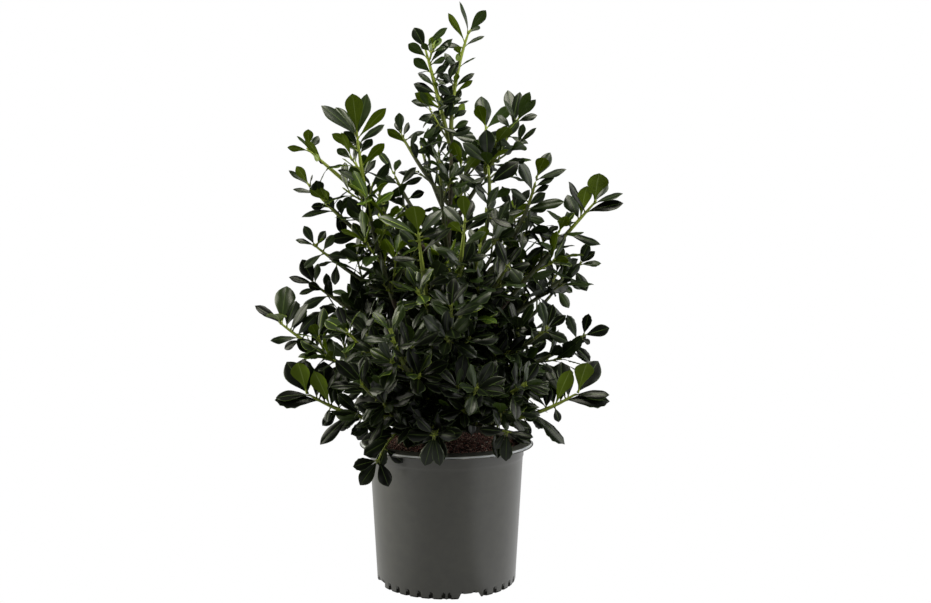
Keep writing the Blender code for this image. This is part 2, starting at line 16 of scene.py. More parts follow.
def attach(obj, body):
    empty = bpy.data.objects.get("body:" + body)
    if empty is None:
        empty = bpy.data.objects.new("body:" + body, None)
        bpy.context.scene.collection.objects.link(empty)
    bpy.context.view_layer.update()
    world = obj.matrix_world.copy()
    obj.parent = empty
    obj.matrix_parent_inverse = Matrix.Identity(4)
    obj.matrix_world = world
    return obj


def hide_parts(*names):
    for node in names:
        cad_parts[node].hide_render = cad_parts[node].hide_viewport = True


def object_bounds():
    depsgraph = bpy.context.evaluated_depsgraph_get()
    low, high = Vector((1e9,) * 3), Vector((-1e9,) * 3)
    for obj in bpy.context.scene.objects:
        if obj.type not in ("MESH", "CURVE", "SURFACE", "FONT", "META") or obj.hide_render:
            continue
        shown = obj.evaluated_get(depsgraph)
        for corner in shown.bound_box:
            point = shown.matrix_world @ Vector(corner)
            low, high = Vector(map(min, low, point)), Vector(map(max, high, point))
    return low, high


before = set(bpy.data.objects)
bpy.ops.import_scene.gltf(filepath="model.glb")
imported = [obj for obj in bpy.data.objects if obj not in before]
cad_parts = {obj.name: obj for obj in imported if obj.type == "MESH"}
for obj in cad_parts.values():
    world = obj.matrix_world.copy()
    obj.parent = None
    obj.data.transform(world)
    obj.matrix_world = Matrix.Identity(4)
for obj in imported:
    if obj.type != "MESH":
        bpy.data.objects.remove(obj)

SEED = 11
UP = Vector((0.0, 0.0, 1.0))
TO_CAMERA = Vector((0.0, -1.0, 0.0))
GOLDEN_ANGLE = math.radians(137.5)
BOX_LOW, BOX_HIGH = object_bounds()

# Pot, as in the source
POT_HEIGHT = 0.225
LIP_RADIUS = 0.140
LIP_DEPTH = 0.008
LIP_BEVEL = 0.0030
BEVEL_DROP = 0.0036
WALL_THICKNESS = 0.0025
BASE_RADIUS = 0.111
SHOULDER_RADIUS = 0.1245
SHOULDER_HEIGHT = 0.199
SHOULDER_STEP = 0.0012
REST_RADIUS = 0.080
RING_HEIGHT = 0.0085
POT_STEPS = 360
NOTCH_AZIMUTHS = (19, 109, 199, 289)
NOTCH_WIDTH = 0.038
NOTCH_TOP_SHARE = 0.72
NOTCH_HEIGHT = 0.008
NOTCH_RADIUS = 0.110
NOTCH_DEPTH = 0.012

# Flutes pressed into the foot of the wall, counted both ways from the front
FLUTE_PITCH = 10.0
FLUTE_START = 2.2
FLUTE_HEIGHT = 0.0125
FLUTE_DEPTH = 0.0030
FLUTE_SHARE = 0.32
# Dents sunk deeper than this, and the foot's rim up to this height, are painted dark: painted shade.
SHADED_DENT_DEPTH = 0.0012
SHADED_FOOT_HEIGHT = 0.0022

# Bark mix
SOIL_EDGE_HEIGHT = 0.2115
SOIL_CROWN_HEIGHT = 0.2215
SOIL_CLEARANCE = 0.0004
SOIL_RELIEF = 0.0012
SOIL_RINGS = 26
SOIL_TURNS = 96
SOIL_BITS = 5600
BIT_SIZE = 0.0036
BIT_STRETCH = ((0.8, 1.6), (0.5, 0.9), (0.3, 0.7))
SPECK_SIZE = 0.35
SPECK_SHARE = 0.16

# Trunk, as in the source
TRUNK_FOOT = 0.2218
TRUNK_TOP = 0.706
TRUNK_LEAN = 0.0075
TRUNK_SWAY = 0.0018
TRUNK_WAVES = 1.5
FLARE_RADIUS = 0.0135
FLARE_HEIGHT = 0.022
CALIPER_RADIUS = 0.0080
TRUNK_TOP_RADIUS = 0.0028
TRUNK_TAPER = 0.6
TRUNK_RINGS = 200
TRUNK_SIDES = 24
BARK_RELIEF = 0.0004
BOUGH_RINGS = 24
BOUGH_SIDES = 12
BOUGH_OVERLAP = 0.001

# Limbs and shoots
LIMB_POINTS = 25
LIMB_RADIUS_PER_LENGTH = 0.0042
SHOOT_TIP_RADIUS = 0.0016
SHOOT_SWELLING = 0.0013
SWELLING_LENGTH = 0.06
SHOOT_SIDES = 8
SHOOT_STEP = 0.012
BUD_LENGTH_IN_RADII = 2.2
BUD_TIP_IN_RADII = 0.2
TWIG_SIDES = 6
TWIG_BASE_RADIUS = 0.0018
TWIG_TIP_RADIUS = 0.0013
TWIG_SPACING = 0.026
TWIG_LENGTH = 0.066
TWIG_ANGLE = 46
TWIG_LIFT = 0.35
TWIG_CURVE = 0.15
TWIG_SHORTENING = 0.45
TWIG_LEAFLESS_SHARE = 0.18
TWIG_POINTS = 6
SEEN_TWIG_LEAFLESS_SHARE = 0.15
SEEN_TWIG_POINTS = 8
TWIGLESS_TIP = 0.035
SEEN_SHARE = 0.9
LEAFLESS_SHARE = 0.20
CROWN_RADIUS = 0.28
UPWARD_FACING = 0.5
OUTWARD_FACING = 0.5
RANDOM_FACING = 0.25
# Leaves below DARK_HEIGHT always, and those up to LIGHT_HEIGHT more often the lower they sit, take the
# blackest tops: painted shade low in the crown.
DARK_HEIGHT = 0.25
LIGHT_HEIGHT = 0.70
LOW_LIMB_HEIGHT = 0.48
LOW_TWIG_SPACING = 0.020
SLENDER_LIMBS = ("left_hanging", "front_low", "front_right_low")
SMALL_LEAVED = {"top_left_inner": 0.66, "top_front": 0.70, "top_back": 0.70, "left_inner": 0.70}

# Leaves
LEAF_LENGTH = 0.0485
SEEN_STRETCH = 1.05
LEAF_RATIO = 0.42
LEAF_SPACING = 0.0085
SOFT_TIP = 0.05
TIP_SPACING = 0.0030
TIP_LEAF_SIZE = 0.86
TIP_SPREAD = 22
WIDEST_SPREAD = 74
SMOOTH_LEAF_HEIGHT = 0.55
SPINY_STRETCH = 0.30
LOWEST_LEAF_TIP = 0.12
ROOM_OVER_LIP = 0.003
ROOM_BESIDE_LIP = 0.004
STALK_LENGTH = 0.005
STALK_RADIUS = 0.0010
STATIONS = 11
TOP_COLUMNS = (-1.0, -0.94, -0.70, -0.35, -0.06, 0.06, 0.35, 0.70, 0.94, 1.0)
UNDER_COLUMNS = (-1.0, -0.60, -0.06, 0.06, 0.60, 1.0)
TOOTH_STATIONS = (4, 6, 8)
HOLLOW_STATIONS = (3, 5, 7, 9)
PIECE_LEAVES = 600
LEAF_THICKNESS = 0.0005
VEIN_RELIEF = 0.00025
BUMP_DEPTH = 0.001

# Least and most bend, fold, reflex, wave and twist of a blade
GROWN_SHAPE = ((0.15, 0.75), (0.15, 0.50), (0.15, 0.70), (0.02, 0.12), (-0.35, 0.35))
SEEN_SHAPE = ((0.15, 0.45), (0.15, 0.40), (0.15, 0.60), (0.02, 0.08), (-0.20, 0.20))

# Limbs, placed as in the source: azimuth, how far out and how high the tip lies, height of the
# root, degrees of rise from it, youth, share of the reach where the limb bends, and bare share.
Limb = namedtuple("Limb", "name azimuth reach height root rise youth bend bare", defaults=(0.60, 0.0))
LIMBS = tuple(Limb(*row) for row in (
    ("leader_right", 0, 0.036, 0.882, TRUNK_TOP, 86.6, 1.2, 0.15),
    ("leader_left", 180, 0.035, 0.857, 0.690, 81.6, 1.2, 0.36),
    ("top_left_inner", 147, 0.092, 0.724, 0.600, 50, 0.4, 0.50),
    ("top_right_inner", 50, 0.105, 0.736, 0.612, 38, 0.3),
    ("top_right", 14, 0.120, 0.742, 0.560, 55, 0.8),
    ("top_front", 262, 0.075, 0.665, 0.520, 50, 0.3),
    ("top_back", 112, 0.120, 0.712, 0.575, 42, 0.3),
    ("right_inner", 317, 0.087, 0.670, 0.430, 42, 0.5, 1.30),
    ("right_high", 0, 0.146, 0.648, 0.420, 40, 0.4, 0.80),
    ("right_main", 358, 0.240, 0.607, 0.335, 49, 0.8, 0.55, 0.42),
    ("right_middle", 15, 0.232, 0.506, 0.368, 23, 0.2, 0.60, 0.40),
    ("right_rear", 33, 0.238, 0.472, 0.325, 20, 0.2),
    ("right_lower", 6, 0.227, 0.389, 0.295, 14, 0.2),
    ("right_low", 352, 0.213, 0.304, 0.245, 0, 1.2, 0.60, 0.42),
    ("left_inner", 142, 0.114, 0.660, 0.520, 41, 0.2, 0.55),
    ("left_main", 192, 0.146, 0.715, 0.292, 49, 1.0, 0.75, 0.40),
    ("left_high", 173, 0.230, 0.695, 0.500, 40, 0.9, 0.60, 0.40),
    ("left_upper", 175, 0.226, 0.635, 0.440, 36, 0.6, 0.55),
    ("left_middle", 182, 0.213, 0.537, 0.400, 28, 0.3),
    ("left_rear", 165, 0.230, 0.472, 0.350, 23, 0.2),
    ("left_lower", 180, 0.269, 0.411, 0.264, 21, 0.7, 0.60, 0.42),
    ("left_low", 188, 0.226, 0.303, 0.243, 0, 1.2, 0.60, 0.42),
    ("left_hanging", 229, 0.157, 0.212, 0.254, 8, 0.4, 0.80),
    ("front_main", 258, 0.194, 0.553, 0.314, 36, 0.8, 0.66, 0.40),
    ("front_fork", 279, 0.172, 0.572, 0.344, 44, 0.8, 0.56),
    ("front_right_inner", 293, 0.130, 0.536, 0.388, 36, 0.4, 0.75),
    ("front_right_upper", 308, 0.152, 0.507, 0.364, 41, 0.3),
    ("front_right", 327, 0.183, 0.409, 0.312, 20, 0.2),
    ("front_right_lower", 308, 0.190, 0.332, 0.274, 8, 0.3),
    ("front_right_low", 300, 0.180, 0.262, 0.251, 6, 0.3),
    ("front_middle", 272, 0.200, 0.450, 0.329, 18, 0.2, 0.80),
    ("front_lower", 282, 0.211, 0.334, 0.262, 12, 0.2),
    ("front_low", 264, 0.176, 0.260, 0.240, 14, 0.4),
    ("front_left_upper", 250, 0.231, 0.417, 0.283, 12, 0.5, 0.70),
    ("front_left", 221, 0.199, 0.410, 0.309, 8, 0.5),
    ("front_left_lower", 234, 0.215, 0.338, 0.262, 8, 0.3, 0.75),
    ("back_high_right", 50, 0.180, 0.585, 0.410, 38, 0.4),
    ("back_high", 88, 0.190, 0.610, 0.435, 38, 0.5),
    ("back_high_left", 128, 0.195, 0.590, 0.418, 36, 0.4),
    ("back_middle_right", 62, 0.230, 0.450, 0.316, 22, 0.4, 0.60, 0.40),
    ("back_middle", 96, 0.240, 0.455, 0.345, 22, 0.3, 0.60, 0.40),
    ("back_middle_left", 132, 0.240, 0.445, 0.325, 20, 0.4, 0.60, 0.40),
    ("back_low_right", 48, 0.220, 0.320, 0.258, 9, 0.3),
    ("back_low", 90, 0.220, 0.310, 0.247, 9, 0.4),
    ("back_low_left", 135, 0.220, 0.325, 0.258, 9, 0.3),
))

# Leaves seen round the tips of the limbs: millimetres back from the tip, degrees in the picture's
# plane (0 right, 90 up), length in millimetres, degrees of lean to the camera, degrees that the
# upper side turns away from the camera (0 seen from above, 180 from below), width in hundredths of
# the length, and youth in hundredths, which is 10 where it isn't given.
SeenLeaf = namedtuple("SeenLeaf", "back angle length lean turned ratio youth", defaults=(10,))
LONG_SHOOT = (
    (2, 88, 49, 30, 172, 68, 100), (2, 66, 43, -20, 10, 56), (5, 23, 43, 10, 58, 42, 20),
    (23, 18, 54, 10, 42, 40), (36, 83, 48, 8, 168, 50, 90), (24, 115, 52, 20, 50, 38),
    (39, 111, 42, -20, 12, 56), (44, 188, 26, 30, 60, 50, 20), (56, 141, 44, 12, 58, 36, 20),
    (70, -12, 50, 12, 38, 34, 20), (60, 100, 26, 30, 30, 50), (68, 215, 26, 20, 30, 60),
    (78, 160, 42, 12, 45, 40, 20), (84, 158, 34, 25, 30, 46),
)
LOW_SHOOT = (
    (2, 78, 47, 12, 172, 64, 100), (3, 53, 58, -20, 10, 54), (9, 5, 48, 10, 50, 40, 20),
    (26, 5, 63, 10, 38, 40), (44, 70, 56, 8, 168, 46, 90), (34, 88, 60, -16, 12, 60),
    (24, 116, 60, -20, 20, 48), (20, 92, 58, -30, 20, 50), (46, 102, 60, -15, 15, 58),
    (46, -70, 21, 20, 30, 66), (92, -28, 30, -5, 20, 60), (58, 132, 44, 12, 58, 36, 20),
    (60, 88, 34, 20, 30, 50), (66, 203, 26, 20, 30, 60), (76, 148, 42, 12, 45, 40, 20),
    (84, 118, 36, 25, 30, 46), (81, -40, 61, 10, 40, 36), (98, -72, 26, 10, 20, 50),
)
SEEN_LEAVES = {
    "leader_right": (
        (3, 97, 49, 0, 50, 22, 30), (1, 53, 39, 12, 160, 44, 50), (3, 44, 26, -30, 20, 44, 20),
        (18, 118, 47, 8, 145, 26, 60), (25, 34, 35, -15, 42, 30, 20), (27, 168, 26, 20, 30, 45),
        (30, 235, 20, 20, 150, 50, 60), (42, 119, 22, 50, 165, 55, 70), (60, 35, 28, -10, 60, 28, 20),
        (58, 146, 22, 40, 20, 50, 20), (60, 220, 26, 10, 40, 40, 20), (46, 236, 31, 28, 25, 50),
        (72, 113, 38, -10, 30, 36), (92, 81, 20, 35, 165, 50, 100), (94, 43, 34, 10, 40, 36),
        (104, 39, 33, 10, 155, 26, 100), (122, 20, 22, 10, 50, 30), (160, 12, 20, 10, 30, 46),
        (172, 12, 34, -20, 20, 44), (170, -10, 36, 12, 25, 50), (84, 152, 28, 10, 30, 44),
        (126, 70, 30, -10, 30, 40), (134, 128, 34, 5, 30, 44), (146, 150, 30, -15, 20, 50),
        (92, 127, 22, 20, 30, 50, 20), (108, 145, 24, 20, 10, 60), (118, 205, 22, 20, 40, 45),
        (144, 32, 22, 15, 22, 45), (150, 58, 34, -20, 150, 40, 90), (163, 31, 26, 15, 15, 44),
    ),
    "leader_left": (
        (3, 117, 33, 10, 5, 60), (2, 46, 42, 12, 42, 36, 40), (18, 143, 34, 14, 160, 48, 60),
        (28, 51, 48, 12, 35, 30), (30, 25, 24, 25, 30, 50, 20), (44, 138, 33, 12, 155, 52, 50),
        (40, 178, 18, -20, 60, 30, 20), (47, 33, 22, 20, 15, 58, 20), (50, -30, 20, 20, 40, 45),
        (60, 62, 42, 10, 40, 34), (66, 30, 24, 10, 30, 46), (68, 136, 31, 10, 40, 42),
        (78, 155, 35, 12, 15, 46, 20), (84, 180, 22, -35, 165, 60, 50), (75, 95, 12, 20, 165, 55, 100),
        (95, 27, 24, 20, 20, 50), (96, 140, 40, -15, 150, 30, 70), (88, 52, 32, -10, 30, 44),
        (92, 12, 30, 8, 20, 46), (106, 66, 34, 5, 20, 40), (112, 20, 30, -10, 30, 50),
        (126, 76, 34, 10, 20, 44), (128, 160, 32, -10, 30, 46), (134, 205, 32, 10, 20, 50),
        (142, 135, 30, 15, 20, 50), (150, 24, 34, 5, 20, 46), (100, 163, 42, 8, 30, 36),
        (105, 147, 45, 12, 162, 34, 90), (112, 190, 33, 10, 30, 44), (118, 232, 28, 20, 20, 50),
        (120, 40, 26, 15, 30, 46, 20),
    ),
    "top_left_inner": (
        (24, 137, 36, 10, 150, 46, 50), (1, 92, 28, 15, 20, 56, 20), (8, 109, 26, -15, 20, 50),
        (16, 30, 32, -10, 40, 40, 30), (10, 70, 22, 20, 30, 50), (34, 69, 24, 15, 20, 45),
        (44, 20, 26, 20, 30, 50), (60, 100, 26, 20, 30, 50),
    ),
    "top_right_inner": (
        (1, 111, 38, 18, 172, 54, 90), (2, 94, 57, -12, 12, 50), (3, 46, 52, -10, 150, 40, 50),
        (20, 20, 34, -15, 40, 44),
    ),
    "top_right": (
        (1, 68, 45, 10, 165, 36, 50), (3, 53, 44, 20, 150, 34, 50), (8, 98, 60, -20, 15, 36),
        (14, 84, 60, -10, 30, 34), (3, 112, 36, 20, 60, 36, 40), (3, 22, 30, 12, 25, 44),
        (18, 130, 30, -15, 30, 46), (30, -20, 30, 20, 40, 46), (40, 60, 34, 10, 30, 44, 20),
        (52, 160, 34, 20, 30, 46),
    ),
    "right_inner": (
        (1, 91, 42, 20, 8, 60), (6, 138, 44, 10, 25, 44), (5, 39, 34, 18, 125, 34, 90),
        (12, 100, 30, 45, 165, 60, 50), (38, 40, 50, 10, 22, 52), (40, -80, 31, 5, 30, 50),
        (26, 200, 24, 20, 40, 46), (56, 141, 52, 12, 30, 32), (64, 33, 33, 15, 150, 44, 40),
        (74, 120, 34, 15, 40, 40), (90, -20, 34, 20, 40, 44),
    ),
    "right_high": (
        (1, 72, 38, 40, 172, 58, 90), (3, 62, 45, -12, 12, 42), (6, 22, 45, 12, 40, 34),
        (18, 28, 30, 15, 35, 40), (26, 109, 47, 12, 25, 46, 20), (30, 32, 25, 10, 28, 42),
        (56, 17, 55, 12, 28, 32), (60, 18, 32, 0, 20, 50), (68, -12, 28, 10, 20, 50),
        (44, 141, 32, 15, 30, 44), (50, 40, 30, 25, 20, 50), (56, 190, 30, 20, 40, 44),
    ),
    "right_main": LONG_SHOOT,
    "right_middle": (
        (1, 70, 32, 12, 15, 50), (2, 43, 28, 15, 20, 44), (3, 10, 31, 10, 35, 40),
        (10, 160, 36, -10, 30, 46), (14, -60, 36, 20, 20, 55), (24, 100, 30, 20, 30, 50),
        (32, -40, 27, 20, 30, 50),
    ),
    "right_rear": (
        (4, -32, 20, 10, 20, 60), (14, -56, 34, 10, 12, 50), (6, 60, 34, 10, 20, 60),
        (16, 110, 34, 15, 30, 50),
    ),
    "right_lower": (
        (1, 79, 31, 8, 15, 50), (1, 19, 38, 10, 12, 50), (14, 109, 38, 10, 18, 42),
        (24, -43, 35, 15, 20, 50), (8, -25, 16, -15, 20, 60), (30, 30, 30, -15, 30, 50),
    ),
    "right_low": LOW_SHOOT,
    "left_low": (
        (4, 100, 55, -25, 20, 56), (60, 222, 30, 10, 20, 60), (84, 226, 32, -10, 20, 50),
        (112, 236, 36, -5, 20, 60), (124, 204, 40, 12, 30, 50),
        *((row[0], 180 - row[1], *row[2:]) for row in LOW_SHOOT),
    ),
    "left_inner": (
        (2, 119, 38, 10, 40, 44, 50), (4, 76, 24, -15, 20, 55), (12, 200, 26, 10, 40, 44),
        (28, 51, 35, 10, 25, 42), (30, 28, 34, 15, 40, 45), (34, 41, 28, 0, 80, 30, 20),
        (56, 26, 25, 10, 20, 60), (26, 150, 30, 20, 30, 46),
    ),
    "left_main": (
        (2, 93, 60, 14, 174, 46, 100), (4, 79, 64, -6, 10, 36), (5, 104, 50, -22, 15, 40),
        (24, 128, 34, -15, 20, 50), (6, 130, 58, -8, 30, 36, 30), (5, 134, 66, 14, 50, 40, 40),
        (4, 124, 52, -5, 25, 38, 20), (6, 121, 42, -25, 20, 46), (9, 48, 60, 8, 150, 30, 90),
        (18, 43, 47, -8, 42, 40), (30, 142, 46, 14, 150, 38, 90), (32, 139, 38, -12, 30, 36, 20),
        (34, 57, 30, -20, 20, 50), (54, 46, 48, 15, 152, 36, 90), (60, -15, 38, 5, 72, 30, 20),
        (72, 60, 30, 20, 40, 40, 20), (80, 150, 40, 20, 40, 40, 20),
    ),
    "left_high": (
        (1, 88, 28, 15, 166, 58, 90), (3, 62, 25, -18, 15, 55), (4, 123, 29, -10, 55, 34, 20),
        (5, 169, 31, 12, 140, 46, 80), (5, -40, 24, 30, 160, 50, 60), (16, -42, 16, 10, 30, 40),
        (32, 121, 40, 14, 150, 34, 60), (46, 236, 33, 5, 72, 32, 20), (78, -30, 26, 15, 30, 46),
    ),
    "left_upper": (
        (1, 121, 32, 12, 165, 50, 80), (3, 137, 43, -12, 40, 28), (2, 80, 14, 10, 40, 30),
        (20, 166, 34, 8, 42, 30, 20), (26, 95, 32, 55, 12, 66), (30, 133, 22, 20, 160, 50, 70),
        (46, 112, 28, 20, 165, 50, 70), (48, 180, 24, 5, 20, 60), (62, 118, 24, 10, 20, 60),
        (76, 92, 24, 10, 20, 60), (60, 184, 48, 8, 45, 32, 20), (66, 52, 30, 10, 20, 50),
        (62, -65, 33, 10, 20, 50), (120, 183, 44, 15, 25, 46),
    ),
    "left_middle": (
        (1, 117, 30, 12, 10, 46), (3, 156, 28, 8, 50, 40, 30), (4, 60, 24, 10, 20, 60),
        (1, 41, 16, 20, 160, 25, 100), (17, 58, 27, 15, 15, 55), (20, 215, 34, 15, 40, 42, 20),
        (22, -30, 24, 15, 30, 46), (36, 24, 30, 15, 20, 60, 20), (24, -4, 22, 15, 20, 66),
        (70, -60, 30, 10, 20, 60), (46, 263, 30, 10, 15, 50), (44, 183, 24, 10, 65, 50),
    ),
    "left_rear": (
        (1, 114, 40, 12, 12, 58), (2, 83, 30, 10, 20, 42), (3, 158, 39, 8, 50, 38),
        (14, 189, 30, 8, 50, 42), (34, 200, 44, 8, 30, 40), (22, 150, 24, 20, 20, 60),
        (32, 94, 30, 10, 30, 46), (34, -20, 34, 10, 20, 50),
    ),
    "left_lower": (
        (3, 89, 62, -20, 8, 54, 62), (2, 140, 45, 10, 32, 34, 20), (1, 97, 38, 55, 170, 88, 90),
        (12, 75, 42, -15, 15, 60), (20, 60, 46, 10, 40, 44), (24, 64, 40, 5, 20, 44),
        (40, 180, 41, 10, 50, 38, 30), (34, 50, 40, 20, 20, 50), (44, 62, 46, 0, 20, 60),
        (60, 60, 44, -5, 15, 60), (72, 78, 42, 0, 20, 60), (44, 205, 30, -10, 30, 46),
    ),
    "left_hanging": (
        (1, 190, 33, 10, 25, 56), (1, 232, 39, 10, 15, 56), (2, -68, 36, 10, 14, 58),
        (22, -35, 30, 10, 15, 50, 20), (30, 250, 30, 15, 20, 55), (42, 208, 42, 8, 20, 60),
        (52, 186, 47, 5, 35, 50), (60, 166, 44, 5, 25, 50), (68, 140, 36, 5, 25, 50),
    ),
    "front_main": (
        (2, 97, 46, 30, 174, 62, 90), (3, 53, 46, -12, 28, 42, 20), (4, 146, 58, 12, 60, 36, 50),
        (6, 20, 34, -20, 20, 60), (12, 170, 14, 30, 120, 40, 90), (12, 25, 14, 30, 120, 40, 90),
        (26, 131, 36, 12, 30, 44), (34, 52, 54, 15, 68, 34, 30), (44, 170, 38, 12, 52, 36, 20),
        (66, 145, 42, 15, 30, 36), (88, 27, 42, 20, 35, 40, 30), (84, 170, 18, 40, 20, 60, 40),
    ),
    "front_fork": (
        (1, 94, 34, 12, 175, 54, 100), (3, 75, 34, -20, 15, 46), (12, 130, 40, -10, 22, 46),
        (3, 27, 34, 12, 48, 38), (18, 38, 36, 15, 40, 38), (22, 140, 30, 40, 160, 60, 90),
        (46, 43, 36, 15, 50, 44, 30), (60, 160, 34, 15, 30, 44), (70, 20, 34, 20, 40, 44),
    ),
    "front_right_inner": (
        (1, 80, 28, 15, 172, 62, 100), (4, 115, 30, -20, 20, 46), (22, 61, 32, 12, 35, 36),
        (30, 140, 30, 20, 30, 46),
    ),
    "front_right_upper": (
        (6, 107, 37, 12, 18, 46), (2, -50, 26, 30, 10, 75, 20), (3, 60, 30, 10, 40, 44),
        (14, 20, 34, 10, 30, 46),
    ),
    "front_right": (
        (2, 100, 38, 10, 18, 42), (1, 76, 34, -8, 20, 42), (2, 39, 31, 10, 20, 44),
        (6, -20, 32, 15, 20, 50), (10, 170, 34, 15, 30, 46),
    ),
    "front_low": (
        (2, 251, 40, 8, 12, 54), (2, -77, 38, 10, 12, 44), (3, 10, 36, 20, 18, 50, 30),
        (2, 175, 34, 15, 20, 56), (4, 130, 32, 20, 30, 50),
    ),
    "front_right_low": (
        (2, 267, 36, 8, 12, 50), (2, -6, 33, 12, 40, 44), (3, 234, 26, -5, 30, 50),
        (4, 170, 34, 15, 30, 50),
    ),
}

# Side shoots seen in the photo: millimetres back from the limb's tip, degrees in the picture's
# plane, length in millimetres, degrees of lean to the camera, youth in hundredths, and their leaves.
SEEN_TWIGS = {
    "leader_left": (
        (24, 72, 24, 10, 100, (
            (1, 95, 12, 15, 170, 40, 100), (1, 60, 12, -10, 30, 40, 80), (9, 140, 18, 25, 160, 60, 50),
            (8, 20, 18, 20, 30, 50, 30),
        )),
        (158, 120, 60, 10, 50, (
            (1, 119, 28, 10, 160, 36, 60), (6, 134, 23, 0, 72, 30, 20), (9, 228, 22, 10, 62, 30),
            (27, 222, 27, 12, 20, 50), (32, -15, 22, 10, 40, 40),
        )),
    ),
    "top_right": (
        (84, 35, 56, 12, 40, (
            (2, 80, 28, 10, 30, 46, 40), (4, 46, 35, 8, 45, 34), (2, 208, 26, 15, 160, 56, 20),
            (12, 150, 30, 10, 30, 50),
        )),
    ),
    "left_main": (
        (62, 128, 28, 10, 80, (
            (1, 108, 38, 12, 160, 34, 90), (4, 140, 28, -10, 20, 50), (5, 70, 28, -10, 30, 40, 20),
        )),
    ),
    "left_upper": (
        (60, 128, 26, 10, 70, (
            (6, 140, 28, 20, 165, 54, 80), (12, 100, 20, 20, 160, 50, 60),
        )),
    ),
    "front_right_low": (
        (30, 75, 34, 10, 60, (
            (1, 152, 30, 12, 30, 46), (2, 205, 34, 15, 20, 50), (2, -75, 26, 20, 30, 46),
            (1, 30, 30, 15, 30, 46),
        )),
    ),
}

# Openings of the crown, as left, top, right and bottom in the photo's pixels. The camera sees the
# sky through all but the last two, and the bark mix through those.
OPENINGS = (
    (475, 15, 490, 70), (405, 50, 420, 90), (457, 72, 472, 107), (472, 85, 490, 100),
    (464, 100, 474, 120), (467, 117, 484, 136), (491, 117, 499, 133), (458, 137, 467, 150),
    (389, 143, 423, 166), (407, 118, 419, 140), (412, 172, 433, 204), (437, 195, 443, 208),
    (370, 165, 380, 177), (386, 186, 394, 191), (375, 144, 384, 150), (386, 203, 395, 212),
    (314, 171, 342, 196), (346, 189, 357, 196), (331, 240, 345, 251), (350, 247, 358, 252),
    (317, 262, 337, 271), (316, 276, 324, 292), (333, 277, 350, 292), (367, 262, 373, 269),
    (497, 150, 532, 158), (502, 180, 520, 190), (531, 190, 552, 198), (540, 206, 562, 224),
    (473, 193, 488, 208), (475, 213, 493, 229), (463, 233, 473, 242), (483, 241, 506, 250),
    (483, 250, 494, 273), (535, 295, 561, 305), (560, 303, 572, 314), (531, 307, 542, 318),
    (565, 292, 581, 307), (560, 321, 566, 330), (575, 321, 582, 335), (588, 346, 595, 357),
    (538, 343, 546, 357), (525, 393, 530, 402), (562, 411, 576, 425), (541, 419, 567, 437),
    (286, 346, 305, 356), (314, 410, 333, 428), (350, 431, 369, 480), (311, 378, 318, 395),
    (571, 243, 582, 250), (452, 433, 473, 450), (473, 425, 489, 450),
)

Shoot = namedtuple("Shoot", "path radius youth leafless seen leaf_size")
Leaf = namedtuple("Leaf", "base direction normal length width bend fold reflex wave twist teeth youth")


# Materials

def srgb(red, green, blue):
    """A linear colour from 0 to 255 display values."""
    def linear(value):
        share = value / 255
        return share / 12.92 if share <= 0.04045 else ((share + 0.055) / 1.055) ** 2.4
    return (linear(red), linear(green), linear(blue), 1.0)


def plain_material(name, colour, roughness, specular=0.5):
    material = bpy.data.materials.new(name)
    material.use_nodes = True
    shader = material.node_tree.nodes["Principled BSDF"]
    shader.inputs["Base Color"].default_value = colour
    shader.inputs["Roughness"].default_value = roughness
    shader.inputs["Specular IOR Level"].default_value = specular
    return material


def add_node(tree, kind, inputs=(), **settings):
    """A shader node, with a value or another node's output on each input named."""
    node = tree.nodes.new(f"ShaderNode{kind}")
    for name, value in settings.items():
        setattr(node, name, value)
    for key, value in dict(inputs).items():
        if isinstance(value, bpy.types.NodeSocket):
            tree.links.new(value, node.inputs[key])
        else:
            node.inputs[key].default_value = value
    return node


def noise_material(name, dark, light, roughness, scale, bump=0.0, specular=0.5):
    """A material whose colour wanders between two shades, with a fine bump of the same grain."""
    material = plain_material(name, dark, roughness, specular)
    tree = material.node_tree
    shader = tree.nodes["Principled BSDF"]
    spot = add_node(tree, "TexCoord").outputs["Object"]
    grain = add_node(tree, "TexNoise", {"Vector": spot, "Scale": scale, "Detail": 4.0}).outputs["Fac"]
    ramp = add_node(tree, "ValToRGB", {"Fac": grain})
    for element, position, colour in zip(ramp.color_ramp.elements, (0.35, 0.65), (dark, light)):
        element.position = position
        element.color = colour
    tree.links.new(ramp.outputs["Color"], shader.inputs["Base Color"])
    if bump:
        relief = add_node(tree, "Bump", {"Strength": bump, "Distance": BUMP_DEPTH, "Height": grain})
        tree.links.new(relief.outputs["Normal"], shader.inputs["Normal"])
    return material


LEAF_TOPS = (
    plain_material("leaf_top_blackish", srgb(11, 17, 7), 0.34, 0.25),
    plain_material("leaf_top_dark", srgb(20, 30, 12), 0.33, 0.34),
    plain_material("leaf_top_slate", srgb(30, 42, 22), 0.36, 0.42),
    plain_material("leaf_top_green", srgb(38, 54, 16), 0.36, 0.42),
    plain_material("leaf_top_young", srgb(62, 86, 18), 0.38, 0.40),
)
